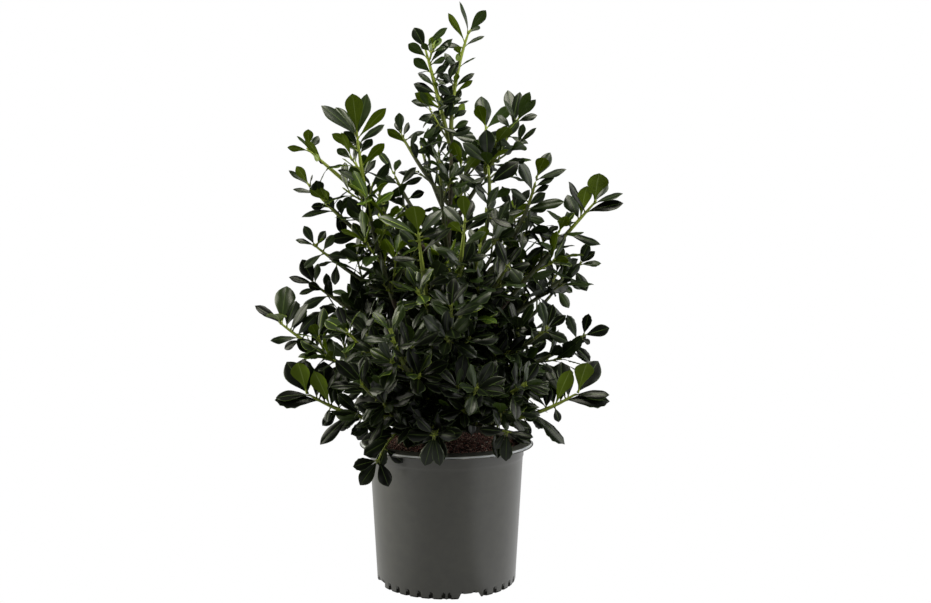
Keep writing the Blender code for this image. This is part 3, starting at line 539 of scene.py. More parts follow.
# Undersides take their own paler greens; the young one is also brightened as painted light, for light
# shining through the leaf.
LEAF_UNDERS = (
    plain_material("leaf_under_dark", srgb(36, 48, 22), 0.50, 0.30),
    plain_material("leaf_under_green", srgb(60, 82, 18), 0.50, 0.26),
    plain_material("leaf_under_young", srgb(104, 127, 6), 0.50, 0.20),
)
RIBS = (
    plain_material("rib_dark", srgb(66, 84, 38), 0.40, 0.40),
    plain_material("rib_young", srgb(132, 156, 54), 0.45, 0.40),
)
STEMS = (
    noise_material("stem_bark", srgb(48, 38, 30), srgb(74, 60, 46), 0.75, 240, 0.3),
    noise_material("stem_dark", srgb(52, 58, 28), srgb(70, 76, 36), 0.6, 240, 0.2),
    plain_material("stem_green", srgb(110, 121, 46), 0.5, 0.40),
    plain_material("stem_young", srgb(152, 168, 64), 0.45, 0.40),
)
FOLIAGE_MATERIALS = LEAF_TOPS + LEAF_UNDERS + RIBS + STEMS
UNDER_START = len(LEAF_TOPS)
RIB_START = UNDER_START + len(LEAF_UNDERS)
STEM_START = RIB_START + len(RIBS)


# Mesh pieces joined from arrays

class Parts:
    """Collects points and four-sided faces, then makes one mesh of them."""

    def __init__(self):
        self.points = []
        self.faces = []
        self.finishes = []
        self.count = 0

    def add(self, points, faces, finishes):
        self.points.append(points)
        self.faces.append(faces + self.count)
        self.finishes.append(finishes)
        self.count += len(points)

    def make(self, name, materials, nodes):
        mesh = bpy.data.meshes.new(name)
        points = np.concatenate(self.points)
        faces = np.concatenate(self.faces)
        mesh.from_pydata(points.tolist(), [], faces.tolist())
        for material in materials:
            mesh.materials.append(material)
        mesh.polygons.foreach_set("material_index", np.concatenate(self.finishes).astype(np.int32))
        mesh.shade_smooth()
        mesh.validate()
        return place(name, mesh, nodes)


def add_object(name, data):
    added = bpy.data.objects.new(name, data)
    bpy.context.scene.collection.objects.link(added)
    return added


def place(name, mesh, nodes):
    piece = add_object(name, mesh)
    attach(piece, "root")
    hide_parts(*nodes)
    return piece


# Growth, by the source's rule

def around(azimuth, radius, height):
    angle = math.radians(azimuth)
    return Vector((radius * math.cos(angle), radius * math.sin(angle), height))


def trunk_share(height):
    return min(1.0, max(0.0, (height - TRUNK_FOOT) / (TRUNK_TOP - TRUNK_FOOT)))


def trunk_point(height):
    share = trunk_share(height)
    sway = TRUNK_SWAY * math.sqrt(share) * share * math.sin(share * TRUNK_WAVES * math.tau)
    return Vector((TRUNK_LEAN * share * share + sway, -sway, height))


def trunk_radius(height):
    taper = (CALIPER_RADIUS - TRUNK_TOP_RADIUS) * trunk_share(height) ** TRUNK_TAPER
    flare = (FLARE_RADIUS - CALIPER_RADIUS) * math.exp((TRUNK_FOOT - height) / FLARE_HEIGHT)
    return CALIPER_RADIUS - taper + flare


def curve_path(start, elbow, tip, count):
    path = []
    for i in range(count):
        t = i / (count - 1)
        path.append(start * (1 - t) ** 2 + elbow * 2 * t * (1 - t) + tip * t * t)
    return path


def limb_path(limb):
    turning = limb.bend * limb.reach
    elbow = around(limb.azimuth, turning, limb.root + turning * math.tan(math.radians(limb.rise)))
    tip = around(limb.azimuth, limb.reach, limb.height)
    return curve_path(trunk_point(limb.root), elbow, tip, LIMB_POINTS)


def path_length(path):
    return sum((b - a).length for a, b in zip(path, path[1:]))


def walk(path, distance):
    """The point at a distance along the path, and the direction there."""
    left = distance
    for a, b in zip(path, path[1:]):
        step = (b - a).length
        if left <= step:
            break
        left -= step
    return a + (b - a) * min(1.0, left / step), (b - a).normalized()


def side_direction(direction, roll):
    flat = direction.cross(UP)
    if flat.length < 1e-5:
        flat = Vector((1.0, 0.0, 0.0))
    flat.normalize()
    return flat * math.cos(roll) + direction.cross(flat) * math.sin(roll)


def place_leaf(point, along, roll, spread, rng, length, youth, teeth):
    """A leaf that leaves its stem at a spread angle, with its upper side to the stem's tip."""
    outward = side_direction(along, roll)
    angle = math.radians(spread)
    direction = along * math.cos(angle) + outward * math.sin(angle)
    facing = along + UP * UPWARD_FACING + Vector((point.x, point.y, 0.0)) / CROWN_RADIUS * OUTWARD_FACING
    facing += Vector((rng.uniform(-1, 1), rng.uniform(-1, 1), rng.uniform(-1, 1))) * RANDOM_FACING
    normal = facing - direction * facing.dot(direction)
    if normal.length < 0.15:
        normal = direction.cross(outward)
    base = point + direction * STALK_LENGTH
    width = length * LEAF_RATIO * rng.uniform(0.88, 1.12)
    bend, *rest = (rng.uniform(least, most) for least, most in GROWN_SHAPE)
    bend *= 0.4 + spread / 90
    return Leaf(base, direction.normalized(), normal.normalized(), length, width, bend, *rest, teeth, youth)


def picture_direction(angle, lean):
    """A direction from its angle in the picture's plane and its lean to the camera."""
    turn, tilt = math.radians(angle), math.radians(lean)
    return Vector((math.cos(turn) * math.cos(tilt), -math.sin(tilt), math.sin(turn) * math.cos(tilt)))


def seen_shoot(path, row):
    """A side shoot placed as the camera sees it, curving up to its tip."""
    back, angle, length, lean, youth, leaves = row
    base, _ = walk(path, path_length(path) - back / 1000)
    direction = picture_direction(angle, lean)
    elbow = base + (direction - UP * TWIG_CURVE) * length / 2000
    twig = curve_path(base, elbow, base + direction * length / 1000, SEEN_TWIG_POINTS)
    leafless = length / 1000 * SEEN_TWIG_LEAFLESS_SHARE
    return Shoot(twig, twig_radius, youth / 100, leafless, leaves, 1.0)


def seen_leaf(path, row, rng):
    """A leaf placed as the camera sees it."""
    seen = SeenLeaf(*row)
    youth = seen.youth / 100
    point, _ = walk(path, path_length(path) - seen.back / 1000)
    direction = picture_direction(seen.angle, seen.lean)
    facing = TO_CAMERA - direction * direction.dot(TO_CAMERA)
    facing.normalize()
    upward = facing.cross(direction)
    if upward.z < 0:
        upward = -upward
    away = math.radians(seen.turned)
    normal = facing * math.cos(away) + upward * math.sin(away)
    base = point + direction * STALK_LENGTH
    length = seen.length * (SEEN_STRETCH / 1000)
    width = length * (seen.ratio / 100)
    shape = [rng.uniform(least, most) for least, most in SEEN_SHAPE]
    teeth = spiny(point.z, rng) * max(0.0, 1.0 - 3.0 * youth)
    return Leaf(base, direction, normal, length, width, *shape, teeth, youth)


def spiny(height, rng):
    """Many of the lower leaves carry a few teeth, and the upper ones hardly any."""
    share = (SMOOTH_LEAF_HEIGHT - height) / SPINY_STRETCH
    return rng.uniform(0.5, 1.0) if rng.random() < 0.6 * share else rng.uniform(0.0, 0.15)


def shoot_leaves(shoot, rng):
    """Leaves that spiral down a shoot from its tip, wider spread and further apart as they go."""
    length = path_length(shoot.path)
    roll = rng.uniform(0, math.tau)
    distance = length - 0.001
    count = 0
    if shoot.seen:
        distance -= max(row[0] for row in shoot.seen) / 1000 + LEAF_SPACING
        count = len(shoot.seen)
    while distance > shoot.leafless:
        point, along = walk(shoot.path, distance)
        down = (length - distance) / SOFT_TIP
        spread = min(WIDEST_SPREAD, TIP_SPREAD + 40 * down ** 0.6) + rng.uniform(-8, 8)
        unfolding = TIP_LEAF_SIZE if count <= 2 else 1.0
        size = LEAF_LENGTH * shoot.leaf_size * rng.uniform(0.80, 1.14) * unfolding
        youth = shoot.youth * max(0.0, 1.15 - 0.45 * down) + rng.uniform(-0.15, 0.15)
        teeth = spiny(point.z, rng)
        yield place_leaf(point, along, roll + count * GOLDEN_ANGLE, spread, rng, size, youth, teeth)
        spacing = TIP_SPACING if count < 4 else LEAF_SPACING * (1 + 0.06 * count)
        distance -= spacing * rng.uniform(0.8, 1.2)
        count += 1


def side_shoots(path, start, end, youth, leaf_size, rng):
    """Twigs that spiral up a limb, curving up to the light, shorter towards its tip."""
    room = (end - start) * 0.88
    spacing = LOW_TWIG_SPACING if path[-1].z < LOW_LIMB_HEIGHT else TWIG_SPACING
    count = round(room / spacing)
    roll = rng.uniform(0, math.tau)
    angle = math.radians(TWIG_ANGLE)
    for i in range(count):
        share = (i + 0.35) / count
        base, along = walk(path, start + room * share)
        outward = side_direction(along, roll + i * GOLDEN_ANGLE)
        direction = (along * math.cos(angle) + outward * math.sin(angle) + UP * TWIG_LIFT).normalized()
        length = TWIG_LENGTH * (1.0 - TWIG_SHORTENING * share) * rng.uniform(0.75, 1.2)
        elbow = base + direction * length * 0.5
        tip = base + (direction + UP * TWIG_CURVE).normalized() * length
        twig = curve_path(base, elbow, tip, TWIG_POINTS)
        twig_youth = youth * rng.uniform(0.2, 0.9)
        if not in_opening(tip):
            yield Shoot(twig, twig_radius, twig_youth, length * TWIG_LEAFLESS_SHARE, (), leaf_size)


def twig_radius(length, distance):
    return TWIG_BASE_RADIUS + (TWIG_TIP_RADIUS - TWIG_BASE_RADIUS) * distance / length


def limb_radius(length, distance):
    """Thickens fast behind the soft tip, and slowly from there to the root."""
    back = length - distance
    swelling = SHOOT_SWELLING * min(1.0, back / SWELLING_LENGTH)
    return SHOOT_TIP_RADIUS + swelling + LIMB_RADIUS_PER_LENGTH * back


# Shoots

def tube(points, radii, sides):
    """Rings round a path, as an array of points and one of four-sided faces."""
    points = np.array(points)
    tangents = np.gradient(points, axis=0)
    tangents /= np.linalg.norm(tangents, axis=1, keepdims=True)
    reference = np.eye(3)[np.argmin(np.abs(tangents.mean(axis=0)))]
    across = np.cross(tangents, reference)
    across /= np.linalg.norm(across, axis=1, keepdims=True)
    over = np.cross(tangents, across)
    angles = np.linspace(0, math.tau, sides, endpoint=False)
    circle = across[:, None] * np.cos(angles)[:, None] + over[:, None] * np.sin(angles)[:, None]
    rings = points[:, None] + circle * np.array(radii)[:, None, None]
    return rings.reshape(-1, 3), grid_faces(len(points), sides, sides)


def grid_faces(rows, columns, strips):
    """Four-sided faces over rows of points: as many strips as columns where each row is a ring."""
    row, column = np.meshgrid(np.arange(rows - 1), np.arange(strips), indexing="ij")
    first = row * columns
    after = (column + 1) % columns
    corners = (first + column, first + columns + column, first + columns + after, first + after)
    return np.stack(corners, axis=-1).reshape(-1, 4)


def stem_finish(shoot, length, distance):
    """Pale green in the youngest stretch, greener and darker behind it, and bark near a limb's root."""
    age = (length - distance) / max(0.02, 0.11 * shoot.youth)
    level = 3 if age < 0.6 * shoot.youth + 0.2 else 2 if age < 1.3 else 1
    barked = length > 0.20 and distance < length * 0.25
    return STEM_START + (0 if barked else level)


def add_shoot(parts, shoot, start, sides):
    """A shoot from a distance along it to its tip, closed by a bud."""
    length = path_length(shoot.path)
    steps = max(4, round((length - start) / SHOOT_STEP))
    distances = [start + (length - start) * i / steps for i in range(steps + 1)]
    points = [tuple(walk(shoot.path, distance)[0]) for distance in distances]
    radii = [shoot.radius(length, distance) for distance in distances]
    tip, along = walk(shoot.path, length)
    points.append(tuple(tip + along * radii[-1] * BUD_LENGTH_IN_RADII))
    radii.append(radii[-1] * BUD_TIP_IN_RADII)
    verts, faces = tube(points, radii, sides)
    finishes = [stem_finish(shoot, length, distance) for distance in distances]
    parts.add(verts, faces, np.repeat(finishes, sides))


# Leaf blades

def half_widths(u, youth):
    """Shares of the leaf's half width at the shares u of its length: young ones widen to the tip."""
    outline = np.sin(math.pi * u ** (1.0 + 0.34 * np.clip(youth, 0.0, 1.0))) ** 0.92
    outline[:, 0] = 0.08
    outline[:, -1] = 0.02
    return outline


def pick_finishes(leaf, rng):
    """Leaves are greener where they are young, and blacker low in the crown, which is painted shade."""
    shade = leaf.youth + rng.uniform(-0.12, 0.12)
    # Low leaves more often get the blackest tops: painted shade.
    low = rng.random() > (leaf.base.z - DARK_HEIGHT) / (LIGHT_HEIGHT - DARK_HEIGHT)
    old = rng.choice((0, 0, 1)) if low else rng.choice((1, 2, 2, 3))
    top = 4 if shade > 0.85 else 3 if shade > 0.5 else old
    under = 2 if shade > 0.55 else 1 if shade > 0.25 else 0
    rib = 1 if shade > 0.55 else 0
    return top, UNDER_START + under, RIB_START + rib


def blade_sheet(leaves, columns, over):
    """One side of every blade, as points by leaf, station and column."""
    def field(name):
        return np.array([getattr(leaf, name) for leaf in leaves])[:, None, None]

    u = np.linspace(0.0, 1.0, STATIONS)[None, :, None]
    v = np.array(columns)[None, None, :]
    swell = np.sin(math.pi * u)
    length, half, teeth = field("length"), field("width") / 2, field("teeth")
    outer = np.clip((np.abs(v) - 0.7) / 0.3, 0.0, 1.0)
    station = np.arange(STATIONS)[None, :, None]
    tooth = np.isin(station, TOOTH_STATIONS) * outer
    hollow = np.isin(station, HOLLOW_STATIONS) * outer
    y = v * half * (half_widths(u, field("youth")) + teeth * (0.13 * tooth - 0.05 * hollow))
    along = u + 0.10 * np.abs(v) * swell + teeth * 0.02 * tooth
    veins = np.where(station % 2 == 0, 1.0, -1.0)
    relief = VEIN_RELIEF * veins * np.sin(math.pi * np.abs(v)) * swell
    z = relief + field("fold") * np.abs(y) - field("reflex") * y * y / half
    z = z + field("wave") * half * v * v * swell * np.sin(u * 15 + length * 900 + v)
    twist = field("twist") * u
    y, z = y * np.cos(twist) - z * np.sin(twist), y * np.sin(twist) + z * np.cos(twist)
    bend = np.maximum(np.abs(field("bend")), 0.02)
    turn = bend * along
    x = length * np.sin(turn) / bend
    drop = -length * (1 - np.cos(turn)) / bend
    height = z + over * (np.abs(v) < 0.99) * (swell > 0.01)
    direction, normal = field("direction"), field("normal")
    forward = (x + height * np.sin(turn))[..., None] * direction
    sideways = y[..., None] * np.cross(normal, direction)
    upward = (drop + height * np.cos(turn))[..., None] * normal
    return field("base") + forward + sideways + upward


def strip_finishes(columns, blade, rib):
    """The finish of each strip between columns: the rib in the middle, the margin and the blade."""
    middle = np.array([(a + b) / 2 for a, b in zip(columns, columns[1:])])
    width = np.diff(columns)
    # Narrow margin strips take the pale rib finish: partly the leaf's own pale edge, partly a painted
    # highlight of light grazing the rim.
    pale = (np.abs(middle) < 0.01) | (width < 0.08)
    strips = np.where(pale[None], np.array(rib)[:, None], np.array(blade)[:, None])
    return np.repeat(strips[:, None], STATIONS - 1, axis=1).reshape(-1)


def leaf_blades(leaves, rng):
    """Both sides of every blade as arrays of points, faces and finishes."""
    tops, unders, ribs = zip(*(pick_finishes(leaf, rng) for leaf in leaves))
    points, faces, finishes = [], [], []
    start = 0
    for columns, blade, order in ((TOP_COLUMNS, tops, 1), (UNDER_COLUMNS, unders, -1)):
        sheet = blade_sheet(leaves, columns, order * LEAF_THICKNESS / 2)
        quads = grid_faces(STATIONS, len(columns), len(columns) - 1)[:, ::order]
        size = STATIONS * len(columns)
        starts = start + (np.arange(len(leaves)) * size)[:, None, None]
        points.append(sheet.reshape(-1, 3))
        faces.append((quads[None] + starts).reshape(-1, 4))
        finishes.append(strip_finishes(columns, blade, ribs))
        start += size * len(leaves)
    return np.concatenate(points), np.concatenate(faces), np.concatenate(finishes)


def add_stalk(parts, leaf):
    start = leaf.base - leaf.direction * STALK_LENGTH
    end = leaf.base + leaf.direction * 0.002
    points, faces = tube([tuple(start), tuple(leaf.base), tuple(end)],
                         [STALK_RADIUS * 2.3, STALK_RADIUS * 1.1, STALK_RADIUS * 0.8], 5)
    level = 3 if leaf.youth > 0.4 else 2
    parts.add(points, faces, np.full(len(faces), STEM_START + level))


def in_opening(point):
    """Whether the camera sees the point in one of the openings."""
    scale = FOCAL_PIXELS / (CAMERA_DISTANCE + point.y)
    column = AXIS_COLUMN + point.x * scale
    row = HORIZON_ROW + (CAMERA_HEIGHT - point.z) * scale
    return any(left < column < right and top < row < bottom for left, top, right, bottom in OPENINGS)


def leaf_fits(leaf):
    """The blade stays out of the pot, the soil and the openings, and inside the solids' box."""
    tip = leaf.base + leaf.direction * leaf.length - leaf.normal * leaf.length * leaf.bend * 0.4
    for share in (0.0, 0.5, 1.0):
        point = leaf.base.lerp(tip, share)
        reach = math.hypot(point.x, point.y)
        if point.z < POT_HEIGHT + ROOM_OVER_LIP and reach < LIP_RADIUS + ROOM_BESIDE_LIP:
            return False
    if any(in_opening(leaf.base.lerp(tip, share)) for share in (0.4, 0.8)):
        return False
    inside = all(low < value < high for low, value, high in zip(BOX_LOW, tip, BOX_HIGH))
    return inside and tip.z > LOWEST_LEAF_TIP


# Regions of the crown, by the name of the limb

REGIONS = ("leader", "top", "right", "left", "front", "back")
FILLED_REGIONS = ("front", "back")
FILLED_STRETCH = (0.15, 0.50)
FILLING_YOUTH = 0.1
FEWEST_LEAVES = 2


def limb_shoots(limb, rng):
    """The limb's own stem, and after it the side shoots: those seen, grown ones and the filling."""
    path = limb_path(limb)
    length = path_length(path)
    leader = limb.name.startswith("leader")
    leafless = 0.0 if leader else length * max(limb.bare, LEAFLESS_SHARE)
    seen = SEEN_LEAVES.get(limb.name, ())
    radius = twig_radius if limb.name in SLENDER_LIMBS else limb_radius
    leaf_size = SMALL_LEAVED.get(limb.name, 1.0)
    shoots = [Shoot(path, radius, limb.youth, leafless, seen, leaf_size)]
    shoots.extend(seen_shoot(path, row) for row in SEEN_TWIGS.get(limb.name, ()))
    if not leader:
        reach = max([TWIGLESS_TIP] + [row[0] / 1000 * SEEN_SHARE for row in seen])
        shoots.extend(side_shoots(path, leafless, length - reach, limb.youth, leaf_size, rng))
    if limb.name.startswith(FILLED_REGIONS):
        start, end = (share * length for share in FILLED_STRETCH)
        filling = random.Random(f"{limb.name} inside {SEED}")
        shoots.extend(side_shoots(path, start, end, FILLING_YOUTH, leaf_size, filling))
    return shoots


def grow_limb(limb, parts):
    """Adds the limb's stem and its leafy side shoots to the parts, and returns their leaves."""
    rng = random.Random(f"{limb.name} {SEED}")
    stem, *twigs = limb_shoots(limb, rng)
    add_shoot(parts, stem, path_length(stem.path) * limb.bare, SHOOT_SIDES)
    leaves = []
    for shoot in [stem] + twigs:
        grown = [seen_leaf(shoot.path, row, rng) for row in shoot.seen]
        grown.extend(leaf for leaf in shoot_leaves(shoot, rng) if leaf_fits(leaf))
        leafy = len(grown) >= FEWEST_LEAVES
        if shoot is stem or leafy:
            leaves.extend(grown)
        if shoot is not stem and leafy:
            add_shoot(parts, shoot, 0.0, TWIG_SIDES)
    return leaves


def grow_region(region):
    limbs = [limb for limb in LIMBS if limb.name.startswith(region)]
    shoots = Parts()
    leaves = [leaf for limb in limbs for leaf in grow_limb(limb, shoots)]
    masses = [f"mass_{limb.name}" for limb in limbs]
    shoots.make(f"shoots_{region}", FOLIAGE_MATERIALS, masses)
    pieces = math.ceil(len(leaves) / PIECE_LEAVES)
    for index in range(pieces):
        add_leaves(f"leaves_{region}_{index + 1}", leaves[index::pieces], masses)


def add_leaves(name, leaves, masses):
    blades = Parts()
    blades.add(*leaf_blades(leaves, random.Random(f"{name} {SEED}")))
    for leaf in leaves:
        add_stalk(blades, leaf)
    blades.make(name, FOLIAGE_MATERIALS, masses)


# Trunk and boughs

def add_bark(parts, points, radii, sides):
    """A tube whose points are pushed in or out from its axis by noise drawn out along the stem."""
    verts, faces = tube(points, radii, sides)
    rough = []
    for point, centre in zip(verts, np.repeat(points, sides, axis=0)):
        spot = Vector(point)
        outward = (spot - Vector(centre)).normalized()
        grain = noise.noise(Vector((spot.x * 260, spot.y * 260, spot.z * 90)))
        rough.append(spot + outward * BARK_RELIEF * grain)
    parts.add(np.array(rough), faces, np.zeros(len(faces)))


def build_boughs():
    boughs = Parts()
    named = [limb for limb in LIMBS if limb.bare]
    for limb in named:
        path = limb_path(limb)
        length = path_length(path)
        distances = np.linspace(0.0, length * limb.bare + BOUGH_OVERLAP, BOUGH_RINGS)
        points = [tuple(walk(path, distance)[0]) for distance in distances]
        radii = [limb_radius(length, distance) for distance in distances]
        add_bark(boughs, points, radii, BOUGH_SIDES)
    boughs.make("boughs_bark", [STEMS[0]], [f"bough_{limb.name}" for limb in named])


def build_trunk():
    heights = np.linspace(TRUNK_FOOT, TRUNK_TOP, TRUNK_RINGS)
    points = [tuple(trunk_point(height)) for height in heights]
    radii = [trunk_radius(height) for height in heights]
    trunk = Parts()
    add_bark(trunk, points, radii, TRUNK_SIDES)
    bark = noise_material("trunk_bark", srgb(58, 54, 40), srgb(88, 82, 62), 0.7, 160, 0.5)
    trunk.make("trunk_bark", [bark], ["trunk"])


# Pot

def wall_radius(height):
    share = height / SHOULDER_HEIGHT
    return BASE_RADIUS + (SHOULDER_RADIUS - SHOULDER_STEP - BASE_RADIUS) * share


def arc(centre, radius, start, end, steps):
    for i in range(steps + 1):
        angle = math.radians(start + (end - start) * i / steps)
        yield centre[0] + radius * math.cos(angle), centre[1] + radius * math.sin(angle)


def pot_profile():
    """From the middle of the cavity's floor, up and over the beaded lip, to the middle of the base."""
    low = POT_HEIGHT - LIP_DEPTH
    floor = RING_HEIGHT + WALL_THICKNESS
    inner = wall_radius(low) - WALL_THICKNESS
    heights = (*np.linspace(SHOULDER_HEIGHT - 0.004, FLUTE_HEIGHT + 0.002, 24),
               *np.linspace(FLUTE_HEIGHT, 0.0025, 8))
    return [
        (0.0, WALL_THICKNESS),
        (REST_RADIUS - WALL_THICKNESS, WALL_THICKNESS),
        (REST_RADIUS, floor),
        (wall_radius(floor) - WALL_THICKNESS, floor),
        (inner, low - 0.003),
        *arc((inner + 0.0045, POT_HEIGHT - 0.0045), 0.0045, 180, 75, 7),
        (LIP_RADIUS - 0.0075, POT_HEIGHT - 0.0012),
        (LIP_RADIUS - 0.0042, POT_HEIGHT - 0.0032),
        *((LIP_RADIUS - 0.0037 + LIP_BEVEL * share, POT_HEIGHT - BEVEL_DROP - LIP_BEVEL * share)
          for share in (0.0, 0.12, 0.88, 1.0)),
        (LIP_RADIUS, low + 0.0008),
        (LIP_RADIUS - 0.0005, low + 0.0001),
        (LIP_RADIUS - 0.0016, low),
        (LIP_RADIUS - 0.0034, low + 0.0012),
        (SHOULDER_RADIUS + 0.0030, POT_HEIGHT - 0.0055),
        *arc((SHOULDER_RADIUS + 0.0022, low - 0.0012), 0.0022, 100, 180, 5),
        (SHOULDER_RADIUS, SHOULDER_HEIGHT + 0.0022),
        (SHOULDER_RADIUS - 0.0004, SHOULDER_HEIGHT + 0.0008),
        (wall_radius(SHOULDER_HEIGHT), SHOULDER_HEIGHT - 0.0012),
        *((wall_radius(height), height) for height in heights),
        *arc((wall_radius(0) - 0.0022, 0.0022), 0.0022, -10, -90, 5),
        (wall_radius(0) - WALL_THICKNESS, 0.0),
        (wall_radius(RING_HEIGHT) - WALL_THICKNESS, RING_HEIGHT),
        (REST_RADIUS + WALL_THICKNESS, RING_HEIGHT),
        (REST_RADIUS, 0.0),
        (0.0, 0.0),
    ]


def press_flutes(mesh):
    """Shallow arched dents all round the foot of the wall."""
    for vertex in mesh.vertices:
        x, y, z = vertex.co
        radius = math.hypot(x, y)
        if z >= FLUTE_HEIGHT or radius < wall_radius(z) - WALL_THICKNESS - 0.0003:
            continue
        front = abs((math.degrees(math.atan2(y, x)) + 270) % 360 - 180)
        turn = ((front - FLUTE_START) / FLUTE_PITCH + 0.5) % 1.0
        side = abs(turn - 0.5) / (FLUTE_SHARE / 2)
        height = z / FLUTE_HEIGHT
        if side >= 1 or side * side + height ** 4 >= 1:
            continue
        dent = FLUTE_DEPTH * math.sqrt(1 - side * side) * (1 - height ** 4)
        scale = (radius - dent) / radius
        vertex.co = (x * scale, y * scale, z)


def add_notch_cutter(azimuth):
    block = bmesh.new()
    bmesh.ops.create_cube(block, size=1.0)
    bmesh.ops.scale(block, vec=(NOTCH_DEPTH, NOTCH_WIDTH, 2 * NOTCH_HEIGHT), verts=block.verts)
    for vertex in block.verts:
        vertex.co.y *= NOTCH_TOP_SHARE if vertex.co.z > 0 else 2.0 - NOTCH_TOP_SHARE
    mesh = bpy.data.meshes.new(f"notch_{azimuth}")
    block.to_mesh(mesh)
    block.free()
    cutter = add_object(mesh.name, mesh)
    cutter.location = around(azimuth, NOTCH_RADIUS, 0.0)
    cutter.rotation_euler.z = math.radians(azimuth)
    return cutter


def apply_modifiers(piece):
    depsgraph = bpy.context.evaluated_depsgraph_get()
    depsgraph.update()
    mesh = bpy.data.meshes.new_from_object(piece.evaluated_get(depsgraph))
    piece.modifiers.clear()
    piece.data = mesh


def turn_profile(pot):
    screw = pot.modifiers.new("turn", "SCREW")
    screw.steps = POT_STEPS
    screw.render_steps = POT_STEPS
    screw.use_merge_vertices = True
    screw.merge_threshold = 1e-5
    apply_modifiers(pot)


def cut_notches(pot):
    cutters = [add_notch_cutter(azimuth) for azimuth in NOTCH_AZIMUTHS]
    for cutter in cutters:
        cut = pot.modifiers.new(cutter.name, "BOOLEAN")
        cut.operation = "DIFFERENCE"
        cut.object = cutter
    apply_modifiers(pot)
    for cutter in cutters:
        bpy.data.objects.remove(cutter)


def build_pot():
    guide = bpy.data.meshes.new("pot_plastic")
    points = [(radius, 0.0, height) for radius, height in pot_profile()]
    guide.from_pydata(points, [(i, i + 1) for i in range(len(points) - 1)], [])
    for material in (
        noise_material("pot_grey", srgb(64, 64, 60), srgb(70, 70, 65), 0.34, 60, 0.02, specular=0.85),
        # The pale finish of the lip's bevel is a painted highlight.
        noise_material("pot_worn_edge", srgb(206, 210, 220), srgb(226, 229, 236), 0.5, 40),
        # The dark finish of the foot's rim and dents is painted shade.
        noise_material("pot_soiled_foot", srgb(30, 30, 26), srgb(42, 42, 38), 0.6, 60, specular=0.2),
    ):
        guide.materials.append(material)
    pot = place("pot_plastic", guide, ["pot"])
    turn_profile(pot)
    press_flutes(pot.data)
    cut_notches(pot)
    pot.data.shade_smooth()
    pot.data.set_sharp_from_angle(angle=math.radians(38))
    paint_pot_light_and_shade(pot.data)


def paint_pot_light_and_shade(mesh):
    """The bevel of the lip gets a pale finish, a painted highlight, and the rim of the foot and the deeper
    parts of its dents a dark one, painted shade.
    """
    for polygon in mesh.polygons:
        x, y, z = polygon.center
        radius = math.hypot(x, y)
        outward = (polygon.normal.x * x + polygon.normal.y * y) / max(radius, 1e-6)
        drop = POT_HEIGHT - BEVEL_DROP - z
        # The bevel of the lip is painted pale as a painted highlight.
        bevelled = 0.1 * LIP_BEVEL < drop < 0.9 * LIP_BEVEL and 0.6 < polygon.normal.z < 0.8
        dented = outward > 0.3 and wall_radius(z) - radius > SHADED_DENT_DEPTH
        foot = radius > wall_radius(0) - WALL_THICKNESS
        # The foot's rim and the deeper parts of its dents are painted dark as painted shade.
        painted_shade = z < SHADED_FOOT_HEIGHT and foot or z < FLUTE_HEIGHT and dented
        polygon.material_index = 1 if bevelled else 2 if painted_shade else 0


# Bark mix

CUBE_POINTS = np.array([(x, y, z) for x in (-1, 1) for y in (-1, 1) for z in (-1, 1)]) / 2
CUBE_FACES = np.array([(0, 1, 3, 2), (4, 6, 7, 5), (0, 4, 5, 1), (2, 3, 7, 6), (0, 2, 6, 4), (1, 5, 7, 3)])


def soil_height(radius):
    edge = wall_radius(SOIL_EDGE_HEIGHT) - WALL_THICKNESS
    share = max(0.0, 1 - radius / edge)
    return SOIL_EDGE_HEIGHT + (SOIL_CROWN_HEIGHT - SOIL_EDGE_HEIGHT) * min(1.0, share * 1.35) ** 0.8


def soil_bed(edge):
    """Points and faces of the surface under the bits, as rings round the middle."""
    points = []
    for radius in np.linspace(0.004, edge, SOIL_RINGS):
        for angle in np.linspace(0, math.tau, SOIL_TURNS, endpoint=False):
            x, y = radius * math.cos(angle), radius * math.sin(angle)
            bump = SOIL_RELIEF * noise.noise(Vector((x * 180, y * 180, 0.0)))
            points.append((x, y, soil_height(radius) - SOIL_RELIEF + bump))
    return np.array(points), grid_faces(SOIL_RINGS, SOIL_TURNS, SOIL_TURNS)


def add_bit(soil, reach, rng):
    """A tumbled chip of bark, or a white speck, that lies on the bed."""
    radius = reach * math.sqrt(rng.random())
    angle = rng.uniform(0, math.tau)
    speck = rng.random() < SPECK_SHARE
    size = BIT_SIZE * (SPECK_SIZE if speck else rng.uniform(0.5, 1.3))
    stretch = [1.0 if speck else rng.uniform(least, most) for least, most in BIT_STRETCH]
    uneven = np.array([[rng.uniform(0.6, 1.1)] for _ in CUBE_POINTS])
    axis = Vector([rng.gauss(0, 1) for _ in range(3)])
    turn = np.array(axis.to_track_quat("X", "Z").to_matrix())
    height = soil_height(radius) + rng.uniform(-0.001, 0.0008)
    middle = (radius * math.cos(angle), radius * math.sin(angle), height)
    finish = 4 if speck else rng.choice((1, 1, 2, 2, 3))
    shape = CUBE_POINTS * size * np.array(stretch) * uneven
    soil.add(shape @ turn.T + middle, CUBE_FACES, np.full(len(CUBE_FACES), finish))


